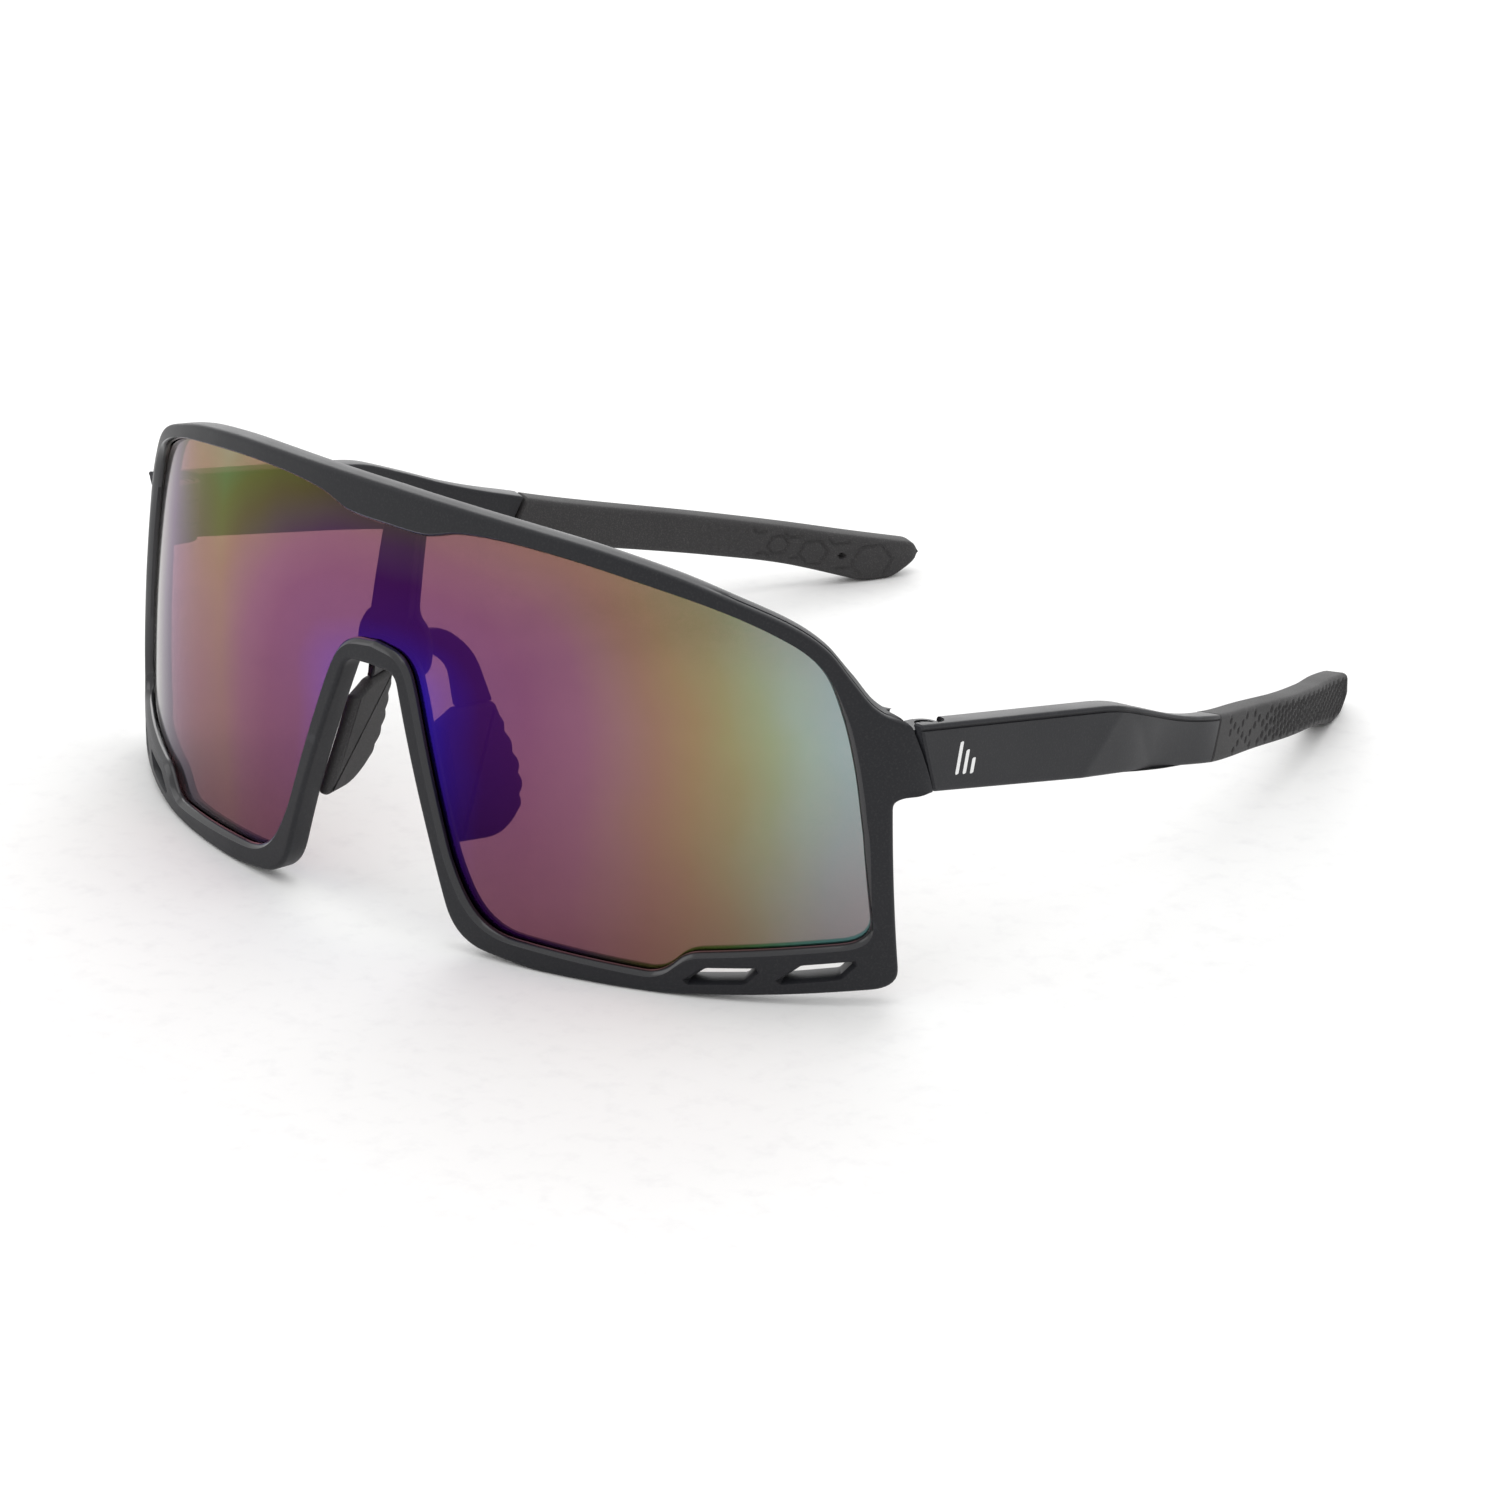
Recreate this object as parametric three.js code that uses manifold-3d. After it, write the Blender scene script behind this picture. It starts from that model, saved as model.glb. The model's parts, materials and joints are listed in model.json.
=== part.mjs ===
// Wraparound shield glasses for mountain sports, standing open on a table.
// Millimetres, +Z up, +X to the wearer's left, -Y the way the wearer looks.
// The front is one rim with a single mirrored shield lens; two arms with rubber tips fold on screw hinges.
import * as THREE from "three";
import { mergeVertices } from "three/addons/utils/BufferGeometryUtils.js";
import Module from "manifold-3d";

const wasm = await Module();
wasm.setup();

// ---- Driving dimensions

const HALF_WIDTH = 72.2; // outer face of each arm
const WRAP_SPAN = 70; // half span at which the two wrap terms are stated
const WRAP_SQUARE = 15.9; // sag of the face from its square term
const WRAP_FOURTH = 10; // sag of the face from its fourth-power term
const MID_HEIGHT = 30; // height at which the face's lean and belly are zero
const LEAN = THREE.MathUtils.degToRad(6.4); // the rim's top leans back
const BELLY = 2.1; // how far the rim's top and bottom fall back from its middle
const RIM_DEPTH = 3.6;
const GROOVE = { from: 1.2, to: 2.7, reach: 1.2 }; // groove for the lens, behind the front face
const FIT_GAP = 0.3; // clearance between neighbouring pieces
const LENS_EDGE = GROOVE.reach - FIT_GAP; // how far the lens runs into its groove

const HINGE = { x: 69, y: 31.5, z: 32.2 }; // centre of the left hinge
const BARREL_RADIUS = 2.1;
const BARREL_CLEARANCE = 0.35;
const ARM_BARREL = 1.5; // half height of the arm's barrel
const RIM_BARREL = { from: 1.8, to: 4.2 }; // the rim's two barrels, above and below the arm's
const SCREW = { shaft: 0.7, bore: 0.8, head: 1.25, seat: 1.4, headFrom: 3.3, top: 4.05, bottom: -4 };
const INSERT = { radius: 1.35, seat: 1.45, from: -3.9, to: -2.1 };

const ARM_THICKNESS = 3.4;
const TIP_THICKNESS = 4;
const JOINT = { y: 27.9, z: 36.6, slope: -0.27 }; // plane between rim and arm: y rises as z falls
const TIP_JOINT = { y: 93, z: 19.5, slope: 0.53 }; // plane between arm and rubber tip

const PAD_THICKNESS = 2.4;
const PAD_ROOT = { x: 9.2, y: 5.5, z: 20 }; // a point on the left pad's nose-side surface
const PAD_SPLAY = { perY: 0.28, perZ: -0.34 }; // how that surface runs outwards
const PAD_TOP = 29.2; // the rubber pad ends here and the hard wing begins

const CURVE_STEPS = 4; // segments in each rounded corner
const SHORTEST_EDGE = 0.03; // finer slivers left by a cut are merged away
const ROUND_SEGMENTS = 24; // sides of barrels, screws and bores
const FAR = 100; // longer than any cut has to reach

// ---- Solids and cuts

/** A closed BufferGeometry as a manifold-3d solid. */
function solid(geometry) {
  const bare = new THREE.BufferGeometry().setAttribute("position", geometry.getAttribute("position"));
  if (geometry.index) bare.setIndex(geometry.index);
  const merged = mergeVertices(bare, 1e-4);
  return new wasm.Manifold(
    new wasm.Mesh({
      numProp: 3,
      vertProperties: merged.attributes.position.array,
      triVerts: new Uint32Array(merged.index.array),
    }),
  );
}

/** A manifold-3d solid as a BufferGeometry. */
function geometryOf(manifold) {
  const mesh = manifold.getMesh();
  const positions = new Float32Array(mesh.numVert * 3);
  for (let i = 0; i < mesh.numVert; i++) {
    const start = i * mesh.numProp;
    positions.set(mesh.vertProperties.subarray(start, start + 3), i * 3);
  }
  const geometry = new THREE.BufferGeometry();
  geometry.setAttribute("position", new THREE.BufferAttribute(positions, 3));
  geometry.setIndex(new THREE.BufferAttribute(mesh.triVerts, 1));
  geometry.computeVertexNormals();
  return geometry;
}

/** The outline moved along an axis: drawn as (x, z) for "y", (y, z) for "x" and (x, y) for "z". */
function prism(shape, axis, from, to) {
  const geometry = new THREE.ExtrudeGeometry(shape, {
    depth: to - from,
    bevelEnabled: false,
    curveSegments: CURVE_STEPS,
  });
  if (axis === "y") {
    geometry.rotateX(Math.PI / 2);
    geometry.translate(0, to, 0);
  } else if (axis === "x") {
    const turn = new THREE.Matrix4().makeBasis(
      new THREE.Vector3(0, 1, 0),
      new THREE.Vector3(0, 0, 1),
      new THREE.Vector3(1, 0, 0),
    );
    geometry.applyMatrix4(turn);
    geometry.translate(from, 0, 0);
  } else {
    geometry.translate(0, 0, from);
  }
  return solid(geometry);
}

/** A mirror image across the plane x = 0, with its faces turned to point out again. */
function mirrored(manifold) {
  const geometry = geometryOf(manifold);
  geometry.scale(-1, 1, 1);
  const index = geometry.index.array;
  for (let i = 0; i < index.length; i += 3) {
    [index[i + 1], index[i + 2]] = [index[i + 2], index[i + 1]];
  }
  return solid(geometry);
}

// ---- Outlines

/** A closed outline through corners [a, b, radius], each rounded by its radius. */
function rounded(corners) {
  const shape = new THREE.Shape();
  corners.forEach(([a, b, radius = 0], i) => {
    const corner = new THREE.Vector2(a, b);
    const before = new THREE.Vector2(...corners.at(i - 1));
    const after = new THREE.Vector2(...corners[(i + 1) % corners.length]);
    const start = corner.clone().add(before.sub(corner).setLength(radius));
    const end = corner.clone().add(after.sub(corner).setLength(radius));
    if (i === 0) shape.moveTo(start.x, start.y);
    else shape.lineTo(start.x, start.y);
    if (radius > 0) shape.quadraticCurveTo(corner.x, corner.y, end.x, end.y);
  });
  return shape;
}

/** The smooth curve through some points, as a list of points. */
function smooth(points, steps) {
  return new THREE.SplineCurve(points.map(([a, b]) => new THREE.Vector2(a, b))).getPoints(steps);
}

/** The step that moves a corner so that both its edges shift sideways, to their left, by a distance. */
function cornerStep(before, point, after, distance) {
  const leftOf = (a, b) => new THREE.Vector2(a.y - b.y, b.x - a.x).normalize();
  const first = leftOf(before ?? point, before ? point : after);
  const second = leftOf(after ? point : before, after ?? point);
  return first.clone().add(second).multiplyScalar(distance / (1 + first.dot(second)));
}

/** A closed outline moved outwards by a distance, away from its inside. */
function grown(points, distance) {
  const outwards = -Math.sign(THREE.ShapeUtils.area(points)) * distance;
  return points.map((point, i) =>
    cornerStep(points.at(i - 1), point, points[(i + 1) % points.length], outwards).add(point));
}

/** An open line moved to its left, walking along it, by a distance. */
function shifted(points, distance) {
  return points.map((point, i) => cornerStep(points[i - 1], point, points[i + 1], distance).add(point));
}

/** A band of one width on the left of a line, walking along it. */
function band(points, width) {
  return new THREE.Shape([...points, ...shifted(points, width).reverse()]);
}

/** Half an outline, from the middle plane round to the middle plane, completed by its mirror image. */
function symmetric(half) {
  const other = half.map((point) => new THREE.Vector2(-point.x, point.y)).reverse();
  const whole = [...half, ...other];
  return whole.filter((point, i) => point.distanceTo(whole.at(i - 1)) > 0.01);
}

// ---- The curved face

/** How far the face lies behind its middle point. */
function face(x, z) {
  const u = x / WRAP_SPAN;
  const v = (z - MID_HEIGHT) / MID_HEIGHT;
  return WRAP_SQUARE * u ** 2 + WRAP_FOURTH * u ** 4 + Math.tan(LEAN) * (z - MID_HEIGHT) + BELLY * v ** 2;
}

/** The point at a depth behind the face, measured square to it. */
function behind(x, z, depth) {
  const step = 0.01;
  const slopeX = (face(x + step, z) - face(x - step, z)) / (2 * step);
  const slopeZ = (face(x, z + step) - face(x, z - step)) / (2 * step);
  const normal = new THREE.Vector3(-slopeX, 1, -slopeZ).setLength(depth);
  return new THREE.Vector3(x, face(x, z), z).add(normal);
}

/** The curved slab between two depths behind the face. */
function slab(from, to) {
  const columns = 24;
  const rows = 5;
  const reach = { x: 84, low: -8, high: 68 };
  const positions = [];
  for (const depth of [from, to]) {
    for (let c = 0; c <= columns; c++) {
      for (let r = 0; r <= rows; r++) {
        const x = reach.x * (2 * (c / columns) - 1);
        const z = reach.low + (reach.high - reach.low) * (r / rows);
        positions.push(...behind(x, z, depth));
      }
    }
  }
  const at = (layer, c, r) => (layer * (columns + 1) + c) * (rows + 1) + r;
  const index = [];
  const quad = (a, b, c, d) => index.push(a, b, c, a, c, d);
  for (let c = 0; c < columns; c++) {
    for (let r = 0; r < rows; r++) {
      quad(at(0, c, r), at(0, c + 1, r), at(0, c + 1, r + 1), at(0, c, r + 1));
      quad(at(1, c, r), at(1, c, r + 1), at(1, c + 1, r + 1), at(1, c + 1, r));
    }
    quad(at(0, c, 0), at(1, c, 0), at(1, c + 1, 0), at(0, c + 1, 0));
    quad(at(0, c, rows), at(0, c + 1, rows), at(1, c + 1, rows), at(1, c, rows));
  }
  for (let r = 0; r < rows; r++) {
    quad(at(0, 0, r), at(0, 0, r + 1), at(1, 0, r + 1), at(1, 0, r));
    quad(at(0, columns, r), at(1, columns, r), at(1, columns, r + 1), at(0, columns, r + 1));
  }
  const geometry = new THREE.BufferGeometry();
  geometry.setAttribute("position", new THREE.Float32BufferAttribute(positions, 3));
  geometry.setIndex(index);
  return solid(geometry);
}

/** The point at a depth behind the face, measured level and square to it from above. */
function levelBehind(x, z, depth) {
  const step = 0.01;
  const slopeX = (face(x + step, z) - face(x - step, z)) / (2 * step);
  const inwards = new THREE.Vector3(-slopeX, 1, 0).setLength(depth);
  return new THREE.Vector3(x, face(x, z), z).add(inwards);
}

/** A cutter through the face along an outline (x, z), with its walls square to the wrap. */
function cutter(outline) {
  const points = THREE.ShapeUtils.isClockWise(outline) ? [...outline].reverse() : outline;
  const near = points.map(({ x, y }) => levelBehind(x, y, -1));
  const far = points.map(({ x, y }) => levelBehind(x, y, RIM_DEPTH + 3));
  const flat = (ring, y) => ring.map((point) => new THREE.Vector3(point.x, y, point.z));
  const rings = [flat(near, -FAR), near, far, flat(far, FAR)];
  const count = points.length;
  const index = [];
  rings.slice(1).forEach((ring, r) => {
    for (let i = 0; i < count; i++) {
      const a = r * count + i;
      const b = r * count + (i + 1) % count;
      index.push(a, a + count, b, b, a + count, b + count);
    }
  });
  const last = (rings.length - 1) * count;
  for (const [a, b, c] of THREE.ShapeUtils.triangulateShape(points, [])) {
    index.push(a, b, c, last + a, last + c, last + b);
  }
  const geometry = new THREE.BufferGeometry().setFromPoints(rings.flat());
  geometry.setIndex(index);
  return solid(geometry);
}

/** A plate of the face: everything inside an outline (x, z) between two depths. */
function plate(points, from, to) {
  return slab(from, to).intersect(cutter(points));
}

// ---- Outlines of the rim, seen from the front

/** The lens opening: a low dip under the brow, a step up over the vents and the arch over the nose. */
function openingOutline() {
  const brow = smooth([[0, 53.2], [7, 53.3], [13, 54.7], [22, 55.1], [34, 54.2], [48, 51.6], [57, 48.2],
    [61.6, 44.6], [64.2, 38.8], [66, 31.4], [67.2, 23]], 24);
  const corner = rounded([[67.2, 23], [68.5, 8.6, 3], [49, 5.9, 1.6], [45.6, 2.6, 2], [20, 3.6, 5.5],
    [15.4, 11.4, 3], [8.1, 32.6, 1.8], [5.9, 37.4, 3.2], [0, 38.1]]);
  const rest = corner.getPoints(CURVE_STEPS).filter((point) => point.x > -0.01);
  return symmetric([...brow, ...rest.slice(1)]);
}

/** The outside of the rim, down the sides, along the flat feet and up round the nose. */
function rimOutline() {
  const brow = smooth([[0, 58.3], [12, 58.1], [24, 57.6], [34, 56.7], [44, 54.9], [52, 52.4], [58, 49.9],
    [62, 47], [64.8, 43.2], [67.2, 39.8], [69.6, 38], [72, 37]], 26);
  const side = rounded([[72, 37], [72, 28.2], [69.7, 28, 1.6], [70.9, 2.4, 2.6], [58, 1, 5], [46, 0, 2],
    [28, 0, 2], [16.2, 1.4, 5], [11.6, 15, 3], [4.5, 34.8, 1.6], [0, 35]]);
  const rest = side.getPoints(CURVE_STEPS).filter((point) => point.x > -0.01);
  return symmetric([...brow, ...rest.slice(1)]);
}

const VENTS = [
  [[49, 2.2], [55.6, 2.9], [57, 4.6], [51.2, 4.1]],
  [[59.4, 3.2], [65.4, 4.1], [66.8, 6], [61.6, 5.3]],
];

// ---- Hinges

/** Puts a piece made round the Z axis onto the left hinge's axis, which leans with the rim. */
function onHinge(geometry) {
  geometry.rotateX(-LEAN);
  geometry.translate(HINGE.x, HINGE.y, HINGE.z);
  return solid(geometry);
}

/** A round bar on the hinge's axis. */
function round(radius, from, to) {
  const geometry = new THREE.CylinderGeometry(radius, radius, to - from, ROUND_SEGMENTS);
  geometry.rotateX(Math.PI / 2);
  geometry.translate(0, 0, (from + to) / 2);
  return onHinge(geometry);
}

/** A block beside the hinge's axis that ties a barrel to its piece. */
function web(minX, maxX, minY, maxY, from, to) {
  const geometry = new THREE.BoxGeometry(maxX - minX, maxY - minY, to - from);
  geometry.translate((minX + maxX) / 2, (minY + maxY) / 2, (from + to) / 2);
  return onHinge(geometry);
}

/** Everything in front of the slanted plane between rim and arm, moved back by a gap. */
function beforeJoint(gap) {
  const at = (z) => JOINT.y + JOINT.slope * (z - JOINT.z) + gap;
  return prism(new THREE.Shape([[-FAR, -FAR], [at(-FAR), -FAR], [at(FAR), FAR], [-FAR, FAR]]
    .map(([y, z]) => new THREE.Vector2(y, z))), "x", 0, FAR);
}

/** Everything in front of the slanted plane between arm and rubber tip, moved back by a gap. */
function beforeTip(gap) {
  const at = (z) => TIP_JOINT.y + TIP_JOINT.slope * (z - TIP_JOINT.z) + gap;
  return prism(new THREE.Shape([[-FAR, -FAR], [at(-FAR), -FAR], [at(FAR), FAR], [-FAR, FAR]]
    .map(([y, z]) => new THREE.Vector2(y, z))), "x", 0, FAR);
}

/** The rim's left corner, which turns the rim into the line of the arm. */
function rimCorner() {
  const plan = rounded([[63.6, 24.6], [66.4, 22.9], [69.6, 25.9, 1], [HALF_WIDTH, 28.6, 2.2], [HALF_WIDTH, 36],
    [66.9, 36], [66.9, 30.4, 1]]);
  const side = rounded([[20, 38.6], [29, 37.5], [34, 36.5], [34, 27.3], [29, 28.6], [20, 29]]);
  return prism(plan, "z", 20, 45).intersect(prism(side, "x", 60, 75));
}

/** The space at the left corner that belongs to the arm and to the turning barrels. */
function armSpace() {
  const at = (z) => JOINT.y + JOINT.slope * (z - JOINT.z);
  const side = rounded([[at(27.4), 27.4], [at(45), 45], [45, 45], [45, 26.2], [36, 26.6]]);
  return prism(side, "x", HINGE.x - BARREL_RADIUS - BARREL_CLEARANCE, FAR)
    .add(round(BARREL_RADIUS + BARREL_CLEARANCE, -RIM_BARREL.to - FIT_GAP, FAR));
}

/** The rim's upper and lower hinge barrels on the left side. */
function rimBarrels() {
  const front = -BARREL_RADIUS - BARREL_CLEARANCE - 1.2;
  const upper = [RIM_BARREL.from, RIM_BARREL.to];
  const lower = [-RIM_BARREL.to, -RIM_BARREL.from];
  return round(BARREL_RADIUS, ...upper)
    .add(web(-BARREL_RADIUS, BARREL_RADIUS * 0.7, front, 0, ...upper))
    .add(round(BARREL_RADIUS, ...lower))
    .add(web(-BARREL_RADIUS, BARREL_RADIUS * 0.7, front, 0, ...lower));
}

/** What the screw and its threaded insert need cut out of the rim's barrels. */
function rimBores() {
  return round(SCREW.bore, -FAR, FAR)
    .add(round(SCREW.seat, SCREW.headFrom - 0.1, FAR))
    .add(round(INSERT.seat, INSERT.from - FIT_GAP, INSERT.to + 0.1));
}

/** The hinge screw, with a driver slot across its head. */
function screw() {
  const profile = [[0, SCREW.bottom], [SCREW.shaft, SCREW.bottom], [SCREW.shaft, SCREW.headFrom],
    [SCREW.head, SCREW.headFrom], [SCREW.head, SCREW.top], [0, SCREW.top]];
  const turned = new THREE.LatheGeometry(profile.map(([r, h]) => new THREE.Vector2(r, h)), ROUND_SEGMENTS);
  turned.rotateX(Math.PI / 2);
  return onHinge(turned).subtract(web(-FAR, FAR, -0.18, 0.18, SCREW.top - 0.4, SCREW.top + 1));
}

/** The brass insert in the lower barrel that the screw threads into. */
function insert() {
  return round(INSERT.radius, INSERT.from, INSERT.to).subtract(round(SCREW.bore, -FAR, FAR));
}

// ---- Front pieces

function rim() {
  const opening = openingOutline();
  let body = plate(rimOutline(), 0, RIM_DEPTH);
  const corner = rimCorner();
  const space = armSpace();
  const barrels = rimBarrels();
  body = body.add(corner).add(mirrored(corner));
  body = body.subtract(space).subtract(mirrored(space));
  body = body.add(barrels).add(mirrored(barrels));
  const cuts = VENTS.map((vent) => cutter(vent.map(([x, z]) => new THREE.Vector2(x, z))));
  cuts.push(rimBores());
  for (const cut of cuts) body = body.subtract(cut).subtract(mirrored(cut));
  body = body.subtract(cutter(opening));
  return body.subtract(plate(grown(opening, GROOVE.reach), GROOVE.from, GROOVE.to));
}

function lens() {
  const edge = grown(openingOutline(), LENS_EDGE);
  return plate(edge, GROOVE.from + 0.2, GROOVE.to - 0.2);
}

/** Moves a flat pad shape, drawn from the side as (y, z), onto the left pad's slanted plane. */
function onPad(shape, from, to) {
  const flat = geometryOf(prism(shape, "x", from, to));
  const slant = new THREE.Matrix4().set(
    1, PAD_SPLAY.perY, PAD_SPLAY.perZ, PAD_ROOT.x - PAD_SPLAY.perY * PAD_ROOT.y - PAD_SPLAY.perZ * PAD_ROOT.z,
    0, 1, 0, 0,
    0, 0, 1, 0,
    0, 0, 0, 1,
  );
  return solid(flat.applyMatrix4(slant));
}

/** The whole flap beside the nose, seen from the side: rubber below, hard wing above. */
const FLAP = [[3.4, 12.9, 0.6], [9.6, 12.6, 2], [13.2, 15, 2], [14.9, 19.6, 2.8], [13.7, 27.8, 4],
  [12.6, 36, 2.6], [9.2, 39.4, 1.8], [4.4, 39.4]];
const FLAP_GAP = [[6.4, 36.6, 0.6], [8.8, 34.6, 1.6], [8.3, 30.2, 1.4], [4.8, 27.6]];
const TONGUE = [[9.7, 32], [12, 32], [12.4, 24], [11.8, 20, 1], [9.8, 20, 1]];
const TONGUE_THICKNESS = 0.8;
const TONGUE_FROM = (PAD_THICKNESS - TONGUE_THICKNESS) / 2;

/** Space in a pad for the wing's tongue. */
function tongueSocket() {
  const points = rounded(TONGUE).getPoints(CURVE_STEPS);
  const socket = new THREE.Shape(grown(points, FIT_GAP));
  return onPad(socket, TONGUE_FROM - FIT_GAP, TONGUE_FROM + TONGUE_THICKNESS + FIT_GAP);
}

/** The bridge bar: a strut behind the lens from brow to nose arch, with a wing down each side. */
function bridgeBar() {
  const strutOutline = symmetric([[0, 52.7], [3, 52.7], [3.6, 40], [3.6, 38.8], [0, 38.8]]
    .map(([x, z]) => new THREE.Vector2(x, z)));
  const backOutline = symmetric([[0, 56], [2.6, 56], [3, 55.4], [3.6, 41.4], [5.4, 40.2], [6.8, 38], [7, 33.4],
    [5.6, 33.4], [4.4, 35.2], [0, 35.3]].map(([x, z]) => new THREE.Vector2(x, z)));
  const backFrom = RIM_DEPTH + FIT_GAP;
  const strut = plate(strutOutline, GROOVE.to + 0.1, backFrom + 0.5);
  const back = plate(backOutline, backFrom, backFrom + 1.3);
  const above = prism(rounded([[-FAR, PAD_TOP + FIT_GAP], [FAR, PAD_TOP + FIT_GAP], [FAR, FAR], [-FAR, FAR]]),
    "x", -FAR, FAR);
  const rearOfRim = slab(backFrom, backFrom + 30);
  const wing = onPad(rounded(FLAP), 0.6, PAD_THICKNESS - 0.6)
    .intersect(above)
    .subtract(onPad(rounded(FLAP_GAP), -1, PAD_THICKNESS + 1))
    .add(onPad(rounded(TONGUE), TONGUE_FROM, TONGUE_FROM + TONGUE_THICKNESS))
    .intersect(rearOfRim);
  return strut.add(back).add(wing).add(mirrored(wing));
}

function nosePad() {
  const below = prism(rounded([[-FAR, -FAR], [FAR, -FAR], [FAR, PAD_TOP], [-FAR, PAD_TOP]]), "x", -FAR, FAR);
  const rearOfRim = slab(RIM_DEPTH + FIT_GAP, RIM_DEPTH + 30);
  return onPad(rounded(FLAP), 0, PAD_THICKNESS)
    .intersect(below)
    .intersect(rearOfRim)
    .subtract(onPad(rounded(FLAP_GAP), -1, PAD_THICKNESS + 1))
    .subtract(tongueSocket());
}

// ---- Arms, made on the left side

/** The line of the arm's outer face from above: straight past the hinge, then curving in behind the ear. */
function outerLine() {
  const bend = smooth([[HALF_WIDTH, 64], [71.9, 72], [70.4, 80.5], [66.8, 92.5], [61.6, 106], [56.6, 120],
    [51.2, 132], [45.8, 142], [42, 150.6]], 26);
  return [new THREE.Vector2(HALF_WIDTH, 24), ...bend];
}

const ARM_SIDE = [[24, 38.7], [66, 30.4, 3], [74, 27.2, 3], [84, 23, 6], [110, 15.2], [110, 9.2], [86, 15.6, 8],
  [66, 20.6, 10], [24, 29.6]];
const TIP_SIDE = [[80, 24.4], [96, 19.3, 6], [120, 13, 5], [132, 9.8, 5], [149.8, 5, 0.8], [150.6, 3.4, 0.6],
  [146.4, 0, 1], [142.4, 0, 1.4], [132, 4.1, 6], [114, 8.5, 6], [96, 12.8, 6], [80, 17.1]];
const TONGUE_SIDE = [[84, 21], [114, 12.6], [114, 10.4], [84, 18]];
const ARM_TONGUE_THICKNESS = 1.2;

/** The arm's tongue inside the rubber tip, grown by a gap for the tip's socket. */
function armTongue(gap) {
  const line = shifted(outerLine(), (TIP_THICKNESS - ARM_TONGUE_THICKNESS) / 2 - gap);
  const plan = band(line, ARM_TONGUE_THICKNESS + 2 * gap);
  const side = new THREE.Shape(grown(rounded(TONGUE_SIDE).getPoints(), gap));
  return prism(plan, "z", -FAR, FAR).intersect(prism(side, "x", 0, FAR));
}

function arm() {
  const clearance = BARREL_RADIUS + BARREL_CLEARANCE;
  const plan = prism(band(outerLine(), ARM_THICKNESS), "z", -FAR, FAR);
  let body = plan.intersect(prism(rounded(ARM_SIDE), "x", 0, FAR));
  body = body.subtract(beforeJoint(FIT_GAP)).intersect(beforeTip(-FIT_GAP / 2));
  body = body.subtract(round(clearance, -FAR, FAR));
  body = body.subtract(web(-FAR, clearance - 0.6, -FAR, 0, -FAR, FAR));
  body = body.add(round(BARREL_RADIUS, -ARM_BARREL, ARM_BARREL));
  body = body.add(web(-0.2, BARREL_RADIUS + 0.5, 0, clearance + 1, -ARM_BARREL, ARM_BARREL));
  body = body.subtract(round(SCREW.bore, -FAR, FAR));
  return body.add(armTongue(0).subtract(beforeTip(-2)));
}

function tip() {
  const plan = prism(band(outerLine(), TIP_THICKNESS), "z", -FAR, FAR);
  return plan.intersect(prism(rounded(TIP_SIDE), "x", 0, FAR))
    .subtract(beforeTip(FIT_GAP / 2))
    .subtract(armTongue(FIT_GAP));
}

// ---- The assembly

const MATERIALS = {
  nylon: new THREE.MeshStandardMaterial({ color: 0x232427, roughness: 0.55, metalness: 0 }),
  lens: new THREE.MeshStandardMaterial({ color: 0x7a4a72, roughness: 0.08, metalness: 0.6 }),
  rubber: new THREE.MeshStandardMaterial({ color: 0x2e2e31, roughness: 0.8, metalness: 0 }),
  steel: new THREE.MeshStandardMaterial({ color: 0x55575c, roughness: 0.3, metalness: 1 }),
  brass: new THREE.MeshStandardMaterial({ color: 0xb08d4a, roughness: 0.35, metalness: 1 }),
};

/** A named mesh of a solid. */
function piece(name, manifold, material) {
  const mesh = new THREE.Mesh(geometryOf(manifold.asOriginal().simplify(SHORTEST_EDGE)), material);
  mesh.name = name;
  return mesh;
}

const glasses = new THREE.Group();
glasses.add(piece("front_frame", rim(), MATERIALS.nylon));
glasses.add(piece("shield_lens", lens(), MATERIALS.lens));
glasses.add(piece("bridge_bar", bridgeBar(), MATERIALS.nylon));

const PAIRS = [
  ["nose_pad", nosePad(), MATERIALS.rubber],
  ["hinge_screw", screw(), MATERIALS.steel],
  ["hinge_insert", insert(), MATERIALS.brass],
  ["temple_arm", arm(), MATERIALS.nylon],
  ["temple_tip", tip(), MATERIALS.rubber],
];
const leftSide = new THREE.Group();
const rightSide = new THREE.Group();
rightSide.scale.x = -1;
for (const [name, shape, material] of PAIRS) {
  leftSide.add(piece(name + "_left", shape, material));
  rightSide.add(piece(name + "_right", shape, material));
}
glasses.add(leftSide, rightSide);

// The origin is under the middle of the box that holds the glasses, on the table.
const box = new THREE.Box3().setFromObject(glasses, true);
glasses.position.set(0, -(box.min.y + box.max.y) / 2, -box.min.z);

export default glasses;
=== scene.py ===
"""Looks for a pair of one-piece shield glasses: fine meshes, finishes, stage and camera.

Shapes are worked out in millimetres, measured back from the middle of the rim's face (+X to the
wearer's left, +Y to the back, +Z up), and moved to the row frame in metres when a mesh is made.
"""

import json
import math

import bmesh
import bpy
import numpy as np
from mathutils import Matrix, Vector


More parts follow.
